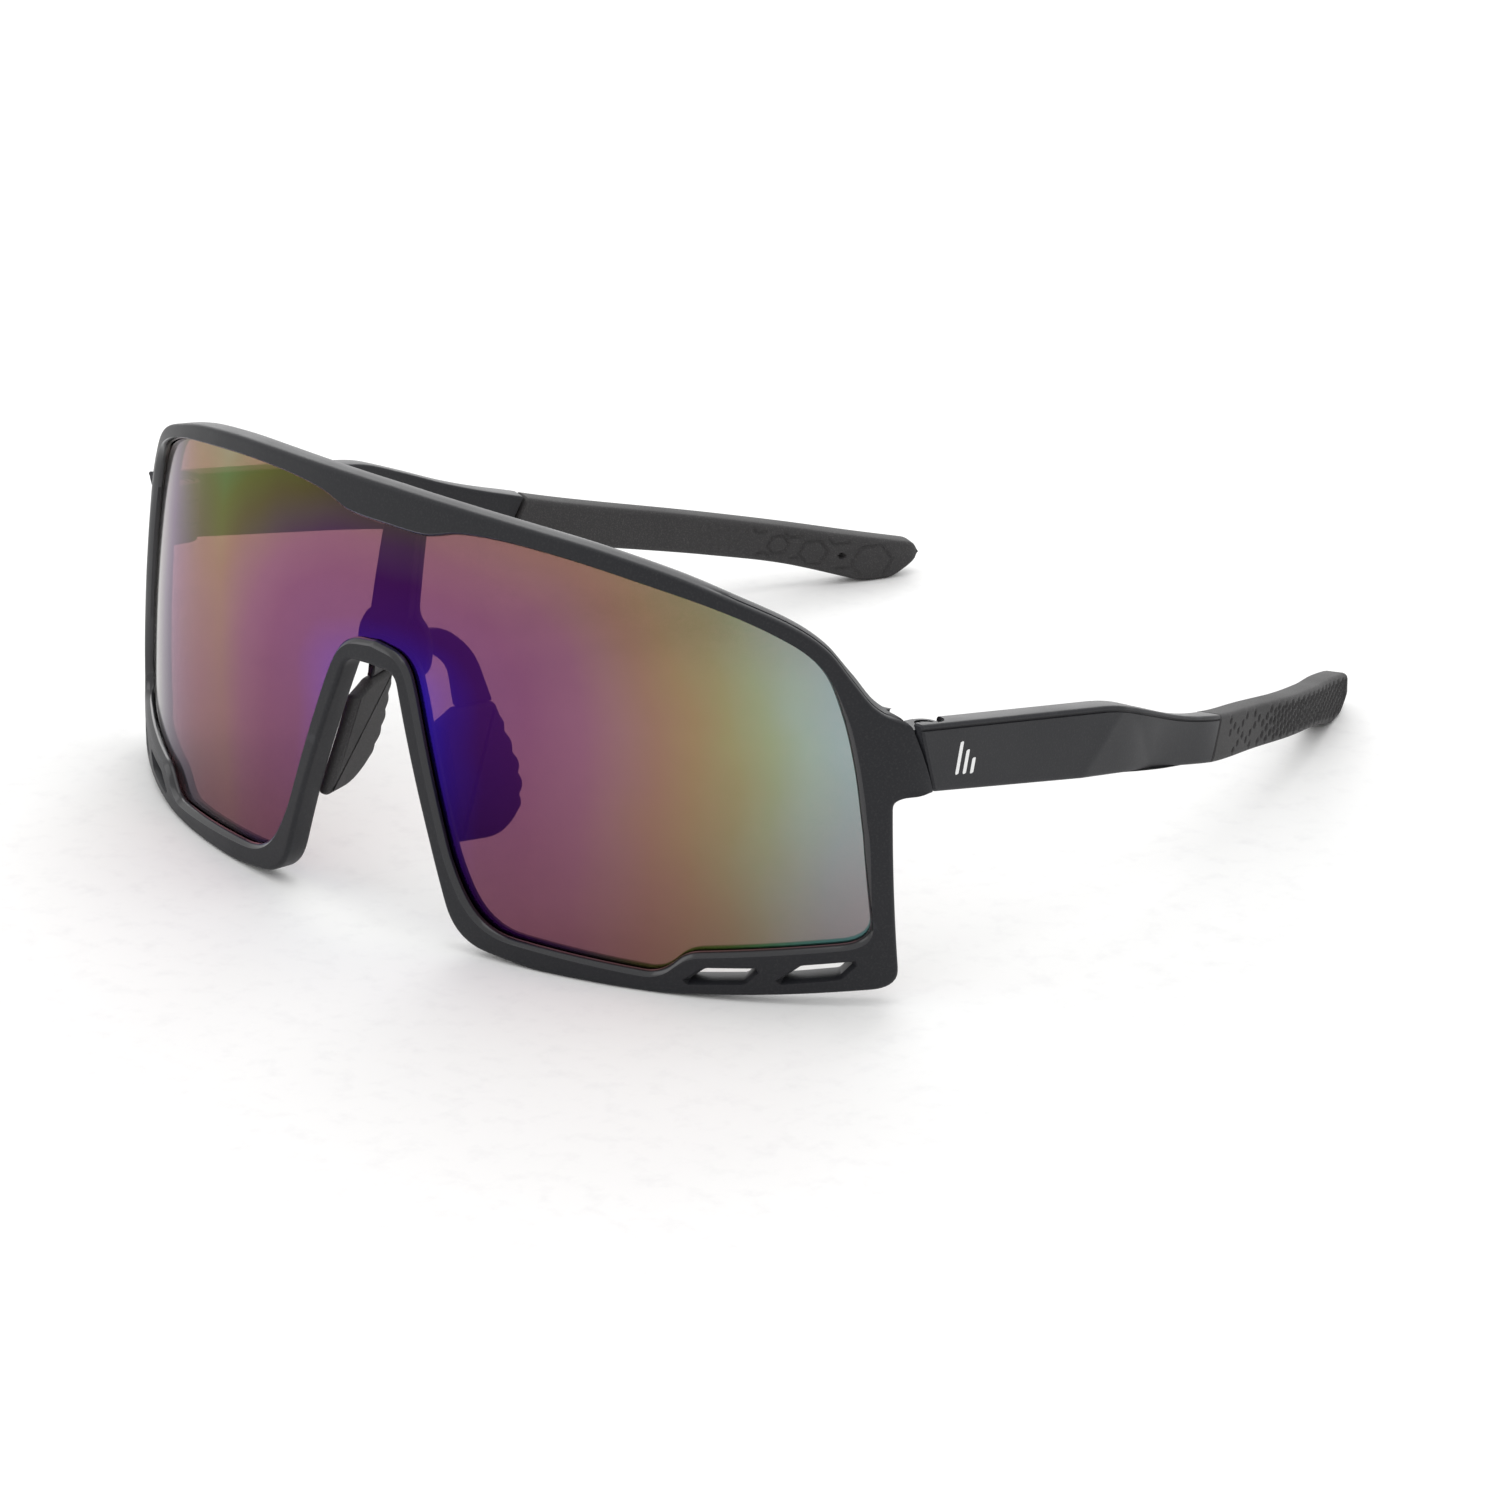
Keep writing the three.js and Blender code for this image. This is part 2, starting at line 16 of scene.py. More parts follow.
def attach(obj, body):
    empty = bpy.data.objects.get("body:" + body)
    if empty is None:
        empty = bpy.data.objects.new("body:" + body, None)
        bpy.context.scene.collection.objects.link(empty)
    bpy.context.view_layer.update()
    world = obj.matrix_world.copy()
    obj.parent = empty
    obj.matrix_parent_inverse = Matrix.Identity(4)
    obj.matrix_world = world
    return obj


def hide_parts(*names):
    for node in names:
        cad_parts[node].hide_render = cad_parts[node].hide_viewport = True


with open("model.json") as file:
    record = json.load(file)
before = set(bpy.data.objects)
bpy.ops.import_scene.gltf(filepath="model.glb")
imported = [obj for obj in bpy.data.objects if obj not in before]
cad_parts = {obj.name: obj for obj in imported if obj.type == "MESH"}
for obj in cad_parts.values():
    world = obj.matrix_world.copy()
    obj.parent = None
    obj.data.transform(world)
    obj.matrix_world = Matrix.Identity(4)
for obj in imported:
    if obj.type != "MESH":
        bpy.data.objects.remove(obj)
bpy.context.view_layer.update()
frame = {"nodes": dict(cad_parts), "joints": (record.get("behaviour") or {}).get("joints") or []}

bl_info = {
    "name": "Shield Glasses",
    "version": (1, 0, 0),
    "blender": (4, 5, 0),
    "location": "3D View > Sidebar > Shield Glasses",
    "description": "Builds one-piece shield glasses around their packed frame",
    "category": "Add Mesh",
}

MM = 0.001
HINGE = Vector((69.0, 31.5, 32.2))
HINGE_AT = frame["joints"][0]["pos_m"]
BACK_SHIFT = HINGE_AT[1] / MM - HINGE.y

# ---- Shape constants, in millimetres, the same as in the CAD part

WRAP_SPAN, WRAP_SQUARE, WRAP_FOURTH = 70.0, 15.9, 10.0
MID_HEIGHT, BELLY = 30.0, 2.1
LEAN = math.radians(6.4)
HALF_WIDTH = 72.2
RIM_DEPTH = 3.6
GROOVE_FROM, GROOVE_TO, GROOVE_REACH = 1.2, 2.7, 1.2
JOINT_Y, JOINT_Z, JOINT_SLOPE = 27.9, 36.6, -0.27
TIP_Y, TIP_Z, TIP_SLOPE = 93.0, 19.5, 0.53
BARREL, BARREL_GAP = 2.1, 0.35
RIM_BARRELS = (1.8, 4.2), (-4.2, -1.8)  # from and to, along the hinge axis
ARM_BARREL = 1.5  # half the length of the arm's barrel
BORE, HEAD_BORE, INSERT_SEAT = 0.8, 1.4, 1.45
TIP_END = 150.6
FAR = 12  # past every surface near a hinge
FIT_GAP = 0.3
SMOOTH_ANGLE = math.radians(32)


# ---- Curves and outlines


def smooth(points, steps):
    """The Catmull-Rom curve through some points."""
    p = np.array(points, float)
    t = np.linspace(0, len(p) - 1, steps + 1)
    i = np.minimum(t.astype(int), len(p) - 2)
    f = (t - i)[:, None]
    a, b = p[np.maximum(i - 1, 0)], p[i]
    c, d = p[i + 1], p[np.minimum(i + 2, len(p) - 1)]
    v0, v1 = (c - a) / 2, (d - b) / 2
    return (2 * b - 2 * c + v0 + v1) * f**3 + (-3 * b + 3 * c - 2 * v0 - v1) * f**2 + v0 * f + b


def rounded(corners, closed=True, steps=8):
    """A line through corners (a, b, radius), each rounded by its radius."""
    points = []
    count = len(corners)
    for i, corner in enumerate(corners):
        here = np.array(corner[:2], float)
        radius = corner[2] if len(corner) > 2 else 0
        if radius == 0 or (not closed and i in (0, count - 1)):
            points.append(here)
            continue
        before = np.array(corners[i - 1][:2], float) - here
        after = np.array(corners[(i + 1) % count][:2], float) - here
        start = here + before / np.linalg.norm(before) * radius
        end = here + after / np.linalg.norm(after) * radius
        for t in np.linspace(0, 1, steps + 1):
            points.append(start * (1 - t) ** 2 + here * 2 * t * (1 - t) + end * t**2)
    return np.array(points)


def resampled(line, count, closed=False):
    """A line as count evenly spaced points, ends included unless it is closed."""
    if closed:
        line = np.vstack([line, line[:1]])
    length = np.concatenate([[0], np.cumsum(np.linalg.norm(np.diff(line, axis=0), axis=1))])
    at = np.linspace(0, length[-1], count, endpoint=not closed)
    return np.stack([np.interp(at, length, line[:, k]) for k in range(line.shape[1])], axis=1)


def between(line, anchors, counts):
    """A line resampled stretch by stretch, between the points nearest to some anchors."""
    line = resampled(line, 3000)
    marks = [int(np.argmin(np.linalg.norm(line - np.array(a), axis=1))) for a in anchors]
    parts = [resampled(line[m : n + 1], c + 1)[:-1] for m, n, c in zip(marks, marks[1:], counts)]
    return np.vstack(parts + [line[marks[-1]][None]])


def grown(points, distance):
    """A closed outline moved outwards by a distance."""
    before, after = np.roll(points, 1, axis=0), np.roll(points, -1, axis=0)
    area = np.sum(points[:, 0] * after[:, 1] - after[:, 0] * points[:, 1])
    out = distance * np.sign(area)

    def normals(a, b):
        n = np.stack([b[:, 1] - a[:, 1], a[:, 0] - b[:, 0]], axis=1)
        return n / np.maximum(np.linalg.norm(n, axis=1, keepdims=True), 1e-9)

    first, second = normals(before, points), normals(points, after)
    along = np.maximum(1 + np.sum(first * second, axis=1, keepdims=True), 0.3)
    return points + (first + second) * out / along


def ramp(value, low, high):
    """0 below low, 1 above high, and smooth between."""
    t = np.clip((np.asarray(value, float) - low) / (high - low), 0, 1)
    return t * t * (3 - 2 * t)


# ---- The curved face


def face(x, z):
    """How far the face lies behind its middle point."""
    u, v = x / WRAP_SPAN, (z - MID_HEIGHT) / MID_HEIGHT
    return WRAP_SQUARE * u**2 + WRAP_FOURTH * u**4 + math.tan(LEAN) * (z - MID_HEIGHT) + BELLY * v**2


def inwards(x):
    """The level direction (x, y) straight into the face."""
    slope = 2 * WRAP_SQUARE * x / WRAP_SPAN**2 + 4 * WRAP_FOURTH * x**3 / WRAP_SPAN**4
    length = np.sqrt(1 + slope**2)
    return -slope / length, 1 / length


def behind(x, z, depth, straight=0.0):
    """The point at a depth behind the face; straight turns the way in towards +Y."""
    x, z, depth = np.broadcast_arrays(np.asarray(x, float), z, depth)
    nx, ny = inwards(x)
    nx, ny = nx * (1 - straight), ny * (1 - straight) + straight
    length = np.sqrt(nx**2 + ny**2)
    return np.stack([x + nx / length * depth, face(x, z) + ny / length * depth, z], axis=-1)


def joint_y(z):
    """Where the slanted plane between rim and arm lies at a height."""
    return JOINT_Y + JOINT_SLOPE * (z - JOINT_Z)


def tip_y(z):
    """Where the slanted plane between arm and rubber tip lies at a height."""
    return TIP_Y + TIP_SLOPE * (z - TIP_Z)


def opening_half():
    """The lens opening's edge on the left half, from the brow round to the nose arch."""
    brow = smooth([(0, 53.2), (7, 53.3), (13, 54.7), (22, 55.1), (34, 54.2), (48, 51.6), (57, 48.2),
                   (61.6, 44.6), (64.2, 38.8), (66, 31.4), (67.2, 23)], 120)
    rest = rounded([(67.2, 23), (68.5, 8.6, 3), (49, 5.9, 1.6), (45.6, 2.6, 2), (20, 3.6, 5.5),
                    (15.4, 11.4, 3), (8.1, 32.6, 1.8), (5.9, 37.4, 3.2), (0, 38.1)], closed=False)
    return np.vstack([brow, rest[1:]])


def rim_half():
    """The rim's outer edge on the left half, from the brow round to the nose arch."""
    brow = smooth([(0, 58.3), (12, 58.1), (24, 57.6), (34, 56.7), (44, 54.9), (52, 52.4), (58, 49.9),
                   (62, 47), (64.8, 43.2), (67.2, 39.8), (69.6, 38), (72.2, 37)], 160)
    rest = rounded([(72.2, 37), (72.2, 28.2, 0.4), (69.7, 28, 1.6), (70.9, 2.4, 2.6), (58, 1, 5),
                    (46, 0, 2), (28, 0, 2), (16.2, 1.4, 5), (11.6, 15, 3), (4.5, 34.8, 1.6), (0, 35)],
                   closed=False)
    return np.vstack([brow, rest[1:]])


OPENING_ANCHORS = [(0, 53.2), (63, 42), (65, 36.5), (66.4, 29), (67.1, 24.5), (68.1, 8.9), (45.8, 3.2),
                   (18, 7), (7.2, 34.6), (0, 38.1)]
RIM_ANCHORS = [(0, 58.3), (66.8, 40.3), (72.2, 37), (72.2, 28.2), (69.8, 26), (70.5, 3), (46, 0),
               (14.6, 5), (5.2, 32.6), (0, 35)]
RIM_COUNTS = [110, 18, 30, 14, 44, 60, 60, 70, 26]


# ---- Making meshes


def to_row(points):
    """Millimetres behind the face's middle, as metres in the row frame."""
    return (np.asarray(points, float).reshape(-1, 3) + (0, BACK_SHIFT, 0)) * MM


def new_piece(name, points, faces, materials, indices=None):
    """A smooth-shaded object of a closed mesh, with its faces turned outwards."""
    mesh = bpy.data.meshes.new(name)
    mesh.from_pydata([tuple(p) for p in to_row(points)], [], [tuple(int(i) for i in f) for f in faces])
    for material in materials:
        mesh.materials.append(material)
    if indices is not None:
        mesh.polygons.foreach_set("material_index", np.asarray(indices, np.int32))
    piece = bpy.data.objects.new(name, mesh)
    bpy.context.scene.collection.objects.link(piece)
    work = bmesh.new()
    work.from_mesh(mesh)
    bmesh.ops.remove_doubles(work, verts=work.verts, dist=1e-7)
    bmesh.ops.recalc_face_normals(work, faces=work.faces)
    work.to_mesh(mesh)
    work.free()
    soften(piece)
    return piece


def soften(piece):
    """Shades a piece smooth, except across its sharp edges."""
    piece.data.polygons.foreach_set("use_smooth", np.ones(len(piece.data.polygons), bool))
    piece.data.set_sharp_from_angle(angle=SMOOTH_ANGLE)


def through_rings(rings, loop=False):
    """Faces of a surface through closed rings of points, ended by caps unless it is a loop."""
    rings = np.asarray(rings)
    count, size = rings.shape[:2]
    spans = count if loop else count - 1
    faces = []
    for r in range(spans):
        s = (r + 1) % count
        for p in range(size):
            q = (p + 1) % size
            faces.append((r * size + p, r * size + q, s * size + q, s * size + p))
    if not loop:
        faces.append(tuple(range(size)))
        faces.append(tuple((count - 1) * size + p for p in range(size)))
    return faces


def ring_piece(name, rings, materials, loop=False, along=None):
    """A piece through closed rings. along gives the material of each stretch of the ring."""
    faces = through_rings(rings, loop)
    indices = None
    if along is not None:
        spans = len(rings) if loop else len(rings) - 1
        indices = np.concatenate([np.tile(along, spans), np.zeros(len(faces) - spans * len(along), int)])
    return new_piece(name, rings, faces, materials, indices)


def slab_rings(outline, place, low, high, radius, steps=4):
    """Rings of a flat form with rounded edges: an outline (a, b) between two levels."""
    rings = []
    turns = np.linspace(0, math.pi / 2, steps + 1)
    for level, sign, order in ((low, 1, turns), (high, -1, turns[::-1])):
        for turn in order:
            inset = radius * (1 - math.sin(turn))
            c = level + sign * radius * (1 - math.cos(turn))
            flat = grown(outline, -inset)
            rings.append(place(flat[:, 0], flat[:, 1], np.full(len(flat), c)))
    return rings


def mirrored(points):
    """Points on the other side of the plane x = 0."""
    return np.asarray(points) * (-1, 1, 1)


SIDES = ((np.asarray, "left"), (mirrored, "right"))


def combine(piece, other, operation):
    """Joins or cuts a piece with another, which is used up."""
    modifier = piece.modifiers.new("join", "BOOLEAN")
    modifier.operation = operation
    modifier.solver = "MANIFOLD"
    modifier.object = other
    graph = bpy.context.evaluated_depsgraph_get()
    mesh = bpy.data.meshes.new_from_object(piece.evaluated_get(graph))
    piece.modifiers.clear()
    old = piece.data
    piece.data = mesh
    bpy.data.meshes.remove(old)
    bpy.data.objects.remove(other)
    soften(piece)


def cut(piece, rings, material):
    """Cuts the solid through some rings out of a piece."""
    combine(piece, ring_piece("cut", rings, [material]), "DIFFERENCE")


def add(piece, rings, material):
    """Adds the solid through some rings to a piece."""
    combine(piece, ring_piece("add", rings, [material]), "UNION")


def finish_piece(piece, body, slot, *nodes):
    """Rides on a body and stands for its CAD nodes, which it hides. The slot is not used."""
    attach(piece, body)
    if nodes:
        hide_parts(*nodes)


# ---- Round pieces on the hinge axis


def on_hinge(points):
    """Points round the Z axis moved onto the left hinge's axis, which leans with the rim."""
    turn = np.array(Matrix.Rotation(-LEAN, 3, "X"))
    return np.asarray(points) @ turn.T + np.array(HINGE)


def turned(profile, sides=48):
    """Rings of a solid turned round the hinge axis, from a profile of (radius, height)."""
    angles = np.linspace(0, 2 * math.pi, sides, endpoint=False)
    rings = []
    for radius, height in profile:
        r = max(radius, 0.01)
        rings.append(np.stack([r * np.cos(angles), r * np.sin(angles), np.full(sides, height)], axis=1))
    return on_hinge(rings)


def bar_profile(radius, low, high, bevel=0.15):
    """The profile of a bar with bevelled ends."""
    return [(radius - bevel, low), (radius, low + bevel), (radius, high - bevel), (radius - bevel, high)]


def block(low, high):
    """Rings of a box beside the hinge axis."""
    rings = []
    for z in (low[2], high[2]):
        corners = [(low[0], low[1], z), (high[0], low[1], z), (high[0], high[1], z), (low[0], high[1], z)]
        rings.append(np.array(corners, float))
    return on_hinge(rings)


# ---- Rim


def rim_profile(width, edge_radius, rear_radius, depth, step):
    """One section of the rim as (distance from the lens opening, depth, part of the ring).

    Every argument but depth is an array over the stations; the result is (stations, points).
    """
    chamfer, chamfer_depth, inner_rear = 0.6, 0.6, 0.6
    one = np.ones_like(width)
    a, d = [], []

    def point(across, deep):
        a.append(across * one)
        d.append(deep * one)

    for t in np.linspace(0, 1, 7):
        point(chamfer + (width - edge_radius - chamfer) * t, 0)
    for turn in np.radians([15, 30, 45, 60, 75, 90]):
        point(width - edge_radius * (1 - math.sin(turn)), edge_radius * (1 - math.cos(turn)))
    point(width, edge_radius + 0.25)
    point(width - step, edge_radius + 0.32)
    point(width - step, edge_radius + 0.62)
    point(width, edge_radius + 0.7)
    point(width, depth - rear_radius)
    for turn in np.radians([30, 60, 90]):
        point(width - rear_radius * (1 - math.cos(turn)), depth - rear_radius * (1 - math.sin(turn)))
    for t in np.linspace(0, 1, 6)[1:]:
        point(width - rear_radius + (rear_radius + inner_rear - width) * t, depth)
    for turn in np.radians([30, 60, 90]):
        point(inner_rear * (1 - math.sin(turn)), depth - inner_rear * (1 - math.cos(turn)))
    point(0, GROOVE_TO)
    point(GROOVE_REACH, GROOVE_TO)
    point(GROOVE_REACH, GROOVE_FROM)
    point(0, GROOVE_FROM)
    point(0, chamfer_depth + 0.15)
    point(0.08, chamfer_depth)
    point(chamfer * 0.5, chamfer_depth * 0.42)
    point(chamfer - 0.08, 0.06)
    return np.stack(a, axis=1), np.stack(d, axis=1)


GLOSS_FROM = 29  # the first stretch of the section that is polished, beside the lens


def rim_rings(depth):
    """Rings of the whole rim, round the lens opening."""
    inner = between(opening_half(), OPENING_ANCHORS, RIM_COUNTS)
    outer = between(rim_half(), RIM_ANCHORS, RIM_COUNTS)
    along = np.gradient(outer, axis=0)
    sideways = np.abs(along[:, 1]) / np.linalg.norm(along, axis=1)
    heights = outer[:, 1]
    at_end = ramp(outer[:, 0], 68.2, 69.6) * ramp(heights, 27.2, 28.4) * (1 - ramp(heights, 38.4, 39.6))
    width = np.linalg.norm(outer - inner, axis=1)
    edge_radius = 0.6 + 1.3 * at_end * ramp(sideways, 0.8, 1)
    shoulder = ramp(outer[:, 0], 47, 57) * ramp(heights, 36.6, 37.4)
    rear_radius = np.minimum(0.6 + 1.0 * ramp(heights, 42, 46), width - 0.7)
    across, deep = rim_profile(width, edge_radius, rear_radius, depth, 0.4 * shoulder)
    share = across / width[:, None]
    x = inner[:, :1] + (outer - inner)[:, :1] * share
    z = inner[:, 1:] + (outer - inner)[:, 1:] * share
    straight = at_end[:, None] * ramp(share, 0.35, 0.85)
    half = behind(x, z, deep, straight)
    return np.concatenate([half, mirrored(half[1:-1][::-1])])


VENTS = [
    [(49, 2.1), (55.6, 2.8), (57, 4.5), (51.2, 4.0)],
    [(59.4, 3.1), (65.4, 4.0), (66.8, 5.9), (61.6, 5.2)],
]


def vent_rings(vent):
    """Rings of a cutter for one vent, flared at the front."""
    outline = resampled(rounded([(*corner, 0.25) for corner in vent], steps=3), 48, closed=True)
    rings = []
    for depth, grow in ((-1, 1.2), (-0.02, 0.42), (0.75, 0.0), (9, 0.0)):
        ring = grown(outline, grow)
        rings.append(behind(ring[:, 0], ring[:, 1], depth))
    return rings


def arm_space_rings():
    """Rings of the space behind the joint plane that belongs to the left arm."""
    left = HINGE.x - BARREL - BARREL_GAP
    side = [(joint_y(27.2), 27.2), (joint_y(45), 45), (45, 45), (45, 26.2), (36, 26.4)]
    return [np.array([(x, y, z) for y, z in side]) for x in (left, left + 20)]


# ---- Arms


def arm_line_x(y):
    """The x of the arm's outer face at a distance back."""
    bend = smooth([(HALF_WIDTH, 64), (71.9, 72), (70.4, 80.5), (66.8, 92.5), (61.6, 106), (56.6, 120),
                   (51.2, 132), (45.8, 142), (42, TIP_END)], 200)
    line = np.vstack([[(HALF_WIDTH, 20)], bend, [(41.1, 152.6)]])
    return np.interp(y, line[:, 1], line[:, 0])


def edge_line(corners):
    """A height that changes along the arm, as a function of the distance back."""
    line = rounded(corners, closed=False, steps=12)
    return lambda y: np.interp(y, line[:, 0], line[:, 1])


ARM_TOP = edge_line([(24, 38.7), (66, 30.4, 3), (74, 27.2, 3), (84, 23, 6), (110, 15.2)])
ARM_BOTTOM = edge_line([(24, 29.6), (66, 20.6, 10), (86, 15.6, 8), (110, 9.2)])
TIP_TOP = edge_line([(80, 24.4), (96, 19.3, 6), (120, 13, 5), (132, 9.8, 5), (149.7, 4.9, 0.9),
                     (TIP_END, 3.3)])
TIP_BOTTOM = edge_line([(80, 17.1), (96, 12.8, 6), (114, 8.5, 6), (132, 4.1, 6), (142.4, 0, 1.4),
                        (146.4, 0, 1), (150.1, 2.3, 0.5), (TIP_END, 3.1)])


def arm_profile(thickness, radius, rows, step=0.0):
    """A section of an arm as (distance in from the outer face, share of the height, offset)."""
    a, k, off = [], [], []

    def point(across, share, offset):
        a.append(across)
        k.append(share)
        off.append(offset)

    turns = np.radians([0, 30, 60, 90])
    for turn in turns:
        point(radius * (1 - math.sin(turn)), 0, radius * (1 - math.cos(turn)))
    for share in np.linspace(0, 1, rows + 2)[1:-1]:
        point(0, share, radius * (1 - 2 * share))
    if step:
        point(0, 1, -radius - 0.45)
        point(step, 1, -radius - 0.38)
        point(step, 1, -radius - 0.12)
        point(0, 1, -radius - 0.05)
    for turn in turns:
        point(radius * (1 - math.cos(turn)), 1, -radius * (1 - math.sin(turn)))
    point(thickness / 2, 1, 0)
    for turn in turns:
        point(thickness - radius * (1 - math.sin(turn)), 1, -radius * (1 - math.cos(turn)))
    for share in np.linspace(1, 0, rows + 2)[1:-1]:
        point(thickness, share, radius * (1 - 2 * share))
    for turn in turns:
        point(thickness - radius * (1 - math.cos(turn)), 0, radius * (1 - math.sin(turn)))
    point(thickness / 2, 0, 0)
    return np.array(a), np.array(k), np.array(off)


def arm_rings(profile, thickness, stations, start, end, top, bottom, relief, taper=None, ends=(0.25, 0.25)):
    """Rings along an arm between two slanted ends, start(z) and end(z).

    relief(y, share, outer) moves the surface in, and taper(y) narrows the section.
    """
    a0, share, offset = (part[None, :] for part in profile)
    t = np.asarray(stations, float)[:, None]
    height = (top(60) + bottom(60)) / 2 + 0 * t * a0
    y = start(height) * (1 - t) + end(height) * t
    for _ in range(3):
        low, high = bottom(y), top(y)
        room = np.maximum((high - low) / 2 - 0.02, 0.01)
        inset = np.where(np.abs(t) < 1e-9, ends[0], 0) + np.where(np.abs(t - 1) < 1e-9, ends[1], 0)
        z = low + (high - low) * share + np.clip(offset, -room, room)
        z = np.clip(z, low + np.minimum(inset, room), high - np.minimum(inset, room))
        y = start(z) * (1 - t) + end(z) * t
    a = np.clip(a0 + 0 * y, inset, thickness - inset)
    outer = a0 < thickness / 2
    a = a + np.where(outer, 1, -1) * relief(y, z, outer)
    if taper is not None:
        a = thickness / 2 + (a - thickness / 2) * taper(y)
    step = 0.05
    slope = (arm_line_x(y + step) - arm_line_x(y - step)) / (2 * step)
    length = np.sqrt(1 + slope**2)
    return np.stack([arm_line_x(y) - a / length, y + a * slope / length, z], axis=-1)


def arm_relief(y, z, outer):
    """The two slanted facets on the arm's outer face."""
    (first_y, first_z), first_end = (66.9, 29.4), (59.2, 22.6)
    (second_y, second_z), (end_y, end_z) = (69.4, 28.7), (76.1, 18.2)
    along = np.subtract(first_end, (first_y, first_z))
    along = along / np.linalg.norm(along)
    crease_y = second_y + (second_z - z) * (end_y - second_y) / (second_z - end_z)
    past_first = (y - first_y) * -along[1] + (z - first_z) * along[0]
    at_crease = (crease_y - first_y) * -along[1] + (z - first_z) * along[0]
    past = ramp(y - crease_y, -1.2, 1.6)
    tilt = 0.15
    wedge = tilt * (np.maximum(past_first, 0) * (1 - past) + np.maximum(at_crease, 0) * past)
    fade = 1 - ramp(y, 76, 92)
    return np.where(outer, wedge * fade, 0)


def tip_dimples():
    """Places and sizes of the dimples on the tip's outer face: (y, share of height, half sizes)."""
    places = []
    column, y, last = 0, 96.5, 148.5
    while y < last:
        grow = float(ramp(y, 98, 126))
        gap = 3.2 - 0.8 * grow
        rows = 3 if grow < 0.5 else 4
        for row in range(rows):
            share = (row + (0.25 if column % 2 else 0.75)) / rows
            sparse = grow < 0.4 and (column + 2 * row) % 3 == 0
            if not sparse:
                places.append((y + 0.9 * (share - 0.5), share, 0.4 + 0.2 * grow, 0.46 + 0.16 * grow))
        y += gap / 2
        column += 1
    return places


HEXAGONS = [(130.6, 0.5, 1.5), (135.6, 0.45, 2.0), (143.4, 0.45, 2.8), (133.0, 1.0, 1.6), (133.2, 0.0, 1.6),
            (139.4, 1.05, 2.0), (139.6, -0.05, 2.0), (128.2, 0.95, 1.2), (128.2, 0.05, 1.2)]
BUMPS = [(119.6 + 1.4 * column, row) for column in range(6) for row in (0.25, 0.5, 0.75)]
PIN_HOLE = (139.5, 0.5)


def tip_height(y, share):
    """The height at a share of the way from a tip's bottom edge to its top edge."""
    return TIP_BOTTOM(y) + (TIP_TOP(y) - TIP_BOTTOM(y)) * share


def hexagon_distance(y, z, radius):
    """How far a point is outside the nearest side of a hexagon with corners fore and aft."""
    y, z = np.abs(y), np.abs(z)
    return np.maximum(z, y * math.sqrt(3) / 2 + z / 2) - radius * math.sqrt(3) / 2


def tip_relief(depth):
    """The relief of a rubber tip: dimples outside, engraved hexagons inside."""
    places = tip_dimples()

    def relief(y, z, outer):
        low, high = TIP_BOTTOM(y), TIP_TOP(y)
        moved = np.zeros_like(y)
        for py, share, half_y, half_z in places:
            dz = z - tip_height(py, 0.1 + 0.8 * share)
            gap = ((y - py - 0.35 * dz) / half_y) ** 2 + (dz / half_z) ** 2
            moved = np.maximum(moved, np.where(outer, depth * np.clip(1 - gap, 0, 1) ** 0.8, 0))
        for py, share, radius in HEXAGONS:
            line = np.abs(hexagon_distance(y - py, z - tip_height(py, share), radius))
            moved = np.maximum(moved, np.where(outer, 0, 0.22 * (1 - ramp(line, 0.08, 0.3))))
        for py, share in BUMPS:
            gap = ((y - py) ** 2 + (z - tip_height(py, share)) ** 2) / 0.45**2
            moved = moved - np.where(outer, 0, 0.18 * np.clip(1 - gap, 0, 1))
        hole = np.hypot(y - PIN_HOLE[0], z - tip_height(*PIN_HOLE))
        moved = moved + np.where(outer, 0, 0.9 * (1 - ramp(hole, 0.25, 0.5)))
        edge = ramp(z - low, 0.5, 1.1) * ramp(high - z, 0.5, 1.1)
        return moved * edge

    return relief


def tip_taper(y):
    """Rounds the end of a tip off."""
    length = 2.2
    t = np.clip((y - TIP_END + length) / length, 0, 0.9)
    return np.sqrt(1 - t**2)


# ---- Nose pieces


def on_pad(y, z, c):
    """A point of the left pad: y back, z up, c away from the nose."""
    x = 9.2 + 0.28 * (y - 5.5) - 0.34 * (z - 20) + c
    back = np.maximum(y, face(x, z) + RIM_DEPTH + FIT_GAP)
    return np.stack([x, back, z], axis=-1)


PAD = [(3.4, 12.9, 0.6), (9.6, 12.6, 2), (13.2, 15, 2), (14.9, 19.6, 2.8), (13.9, 26.6, 1.5),
       (13.5, 29.2, 0.6), (8.0, 29.2, 0.3), (7.2, 28.7, 0.6), (4.8, 27.6, 0.3)]
WING = [(8.3, 29.25, 0.2), (13.4, 29.25, 0.3), (12.6, 36, 2.6), (9.2, 39.4, 1.8), (4.4, 39.4, 0.2),
        (4.4, 36.6, 0.2), (6.6, 36.6, 0.6), (8.8, 34.6, 1.6), (8.4, 30.4, 0.4)]


def pad_outline():
    """The rubber pad from the side, with a scalloped rear edge."""
    line = resampled(rounded(PAD), 260, closed=True)
    rear = ramp(line[:, 0], 12.2, 13.6) * ramp(line[:, 1], 14.5, 16) * (1 - ramp(line[:, 1], 26.5, 28))
    wave = 0.4 * np.abs(np.sin(math.pi * (line[:, 1] - 14.5) / 2.7))
    return line + (grown(line, 1.0) - line) * (rear * (wave - 0.2))[:, None]


# ---- Shader node groups


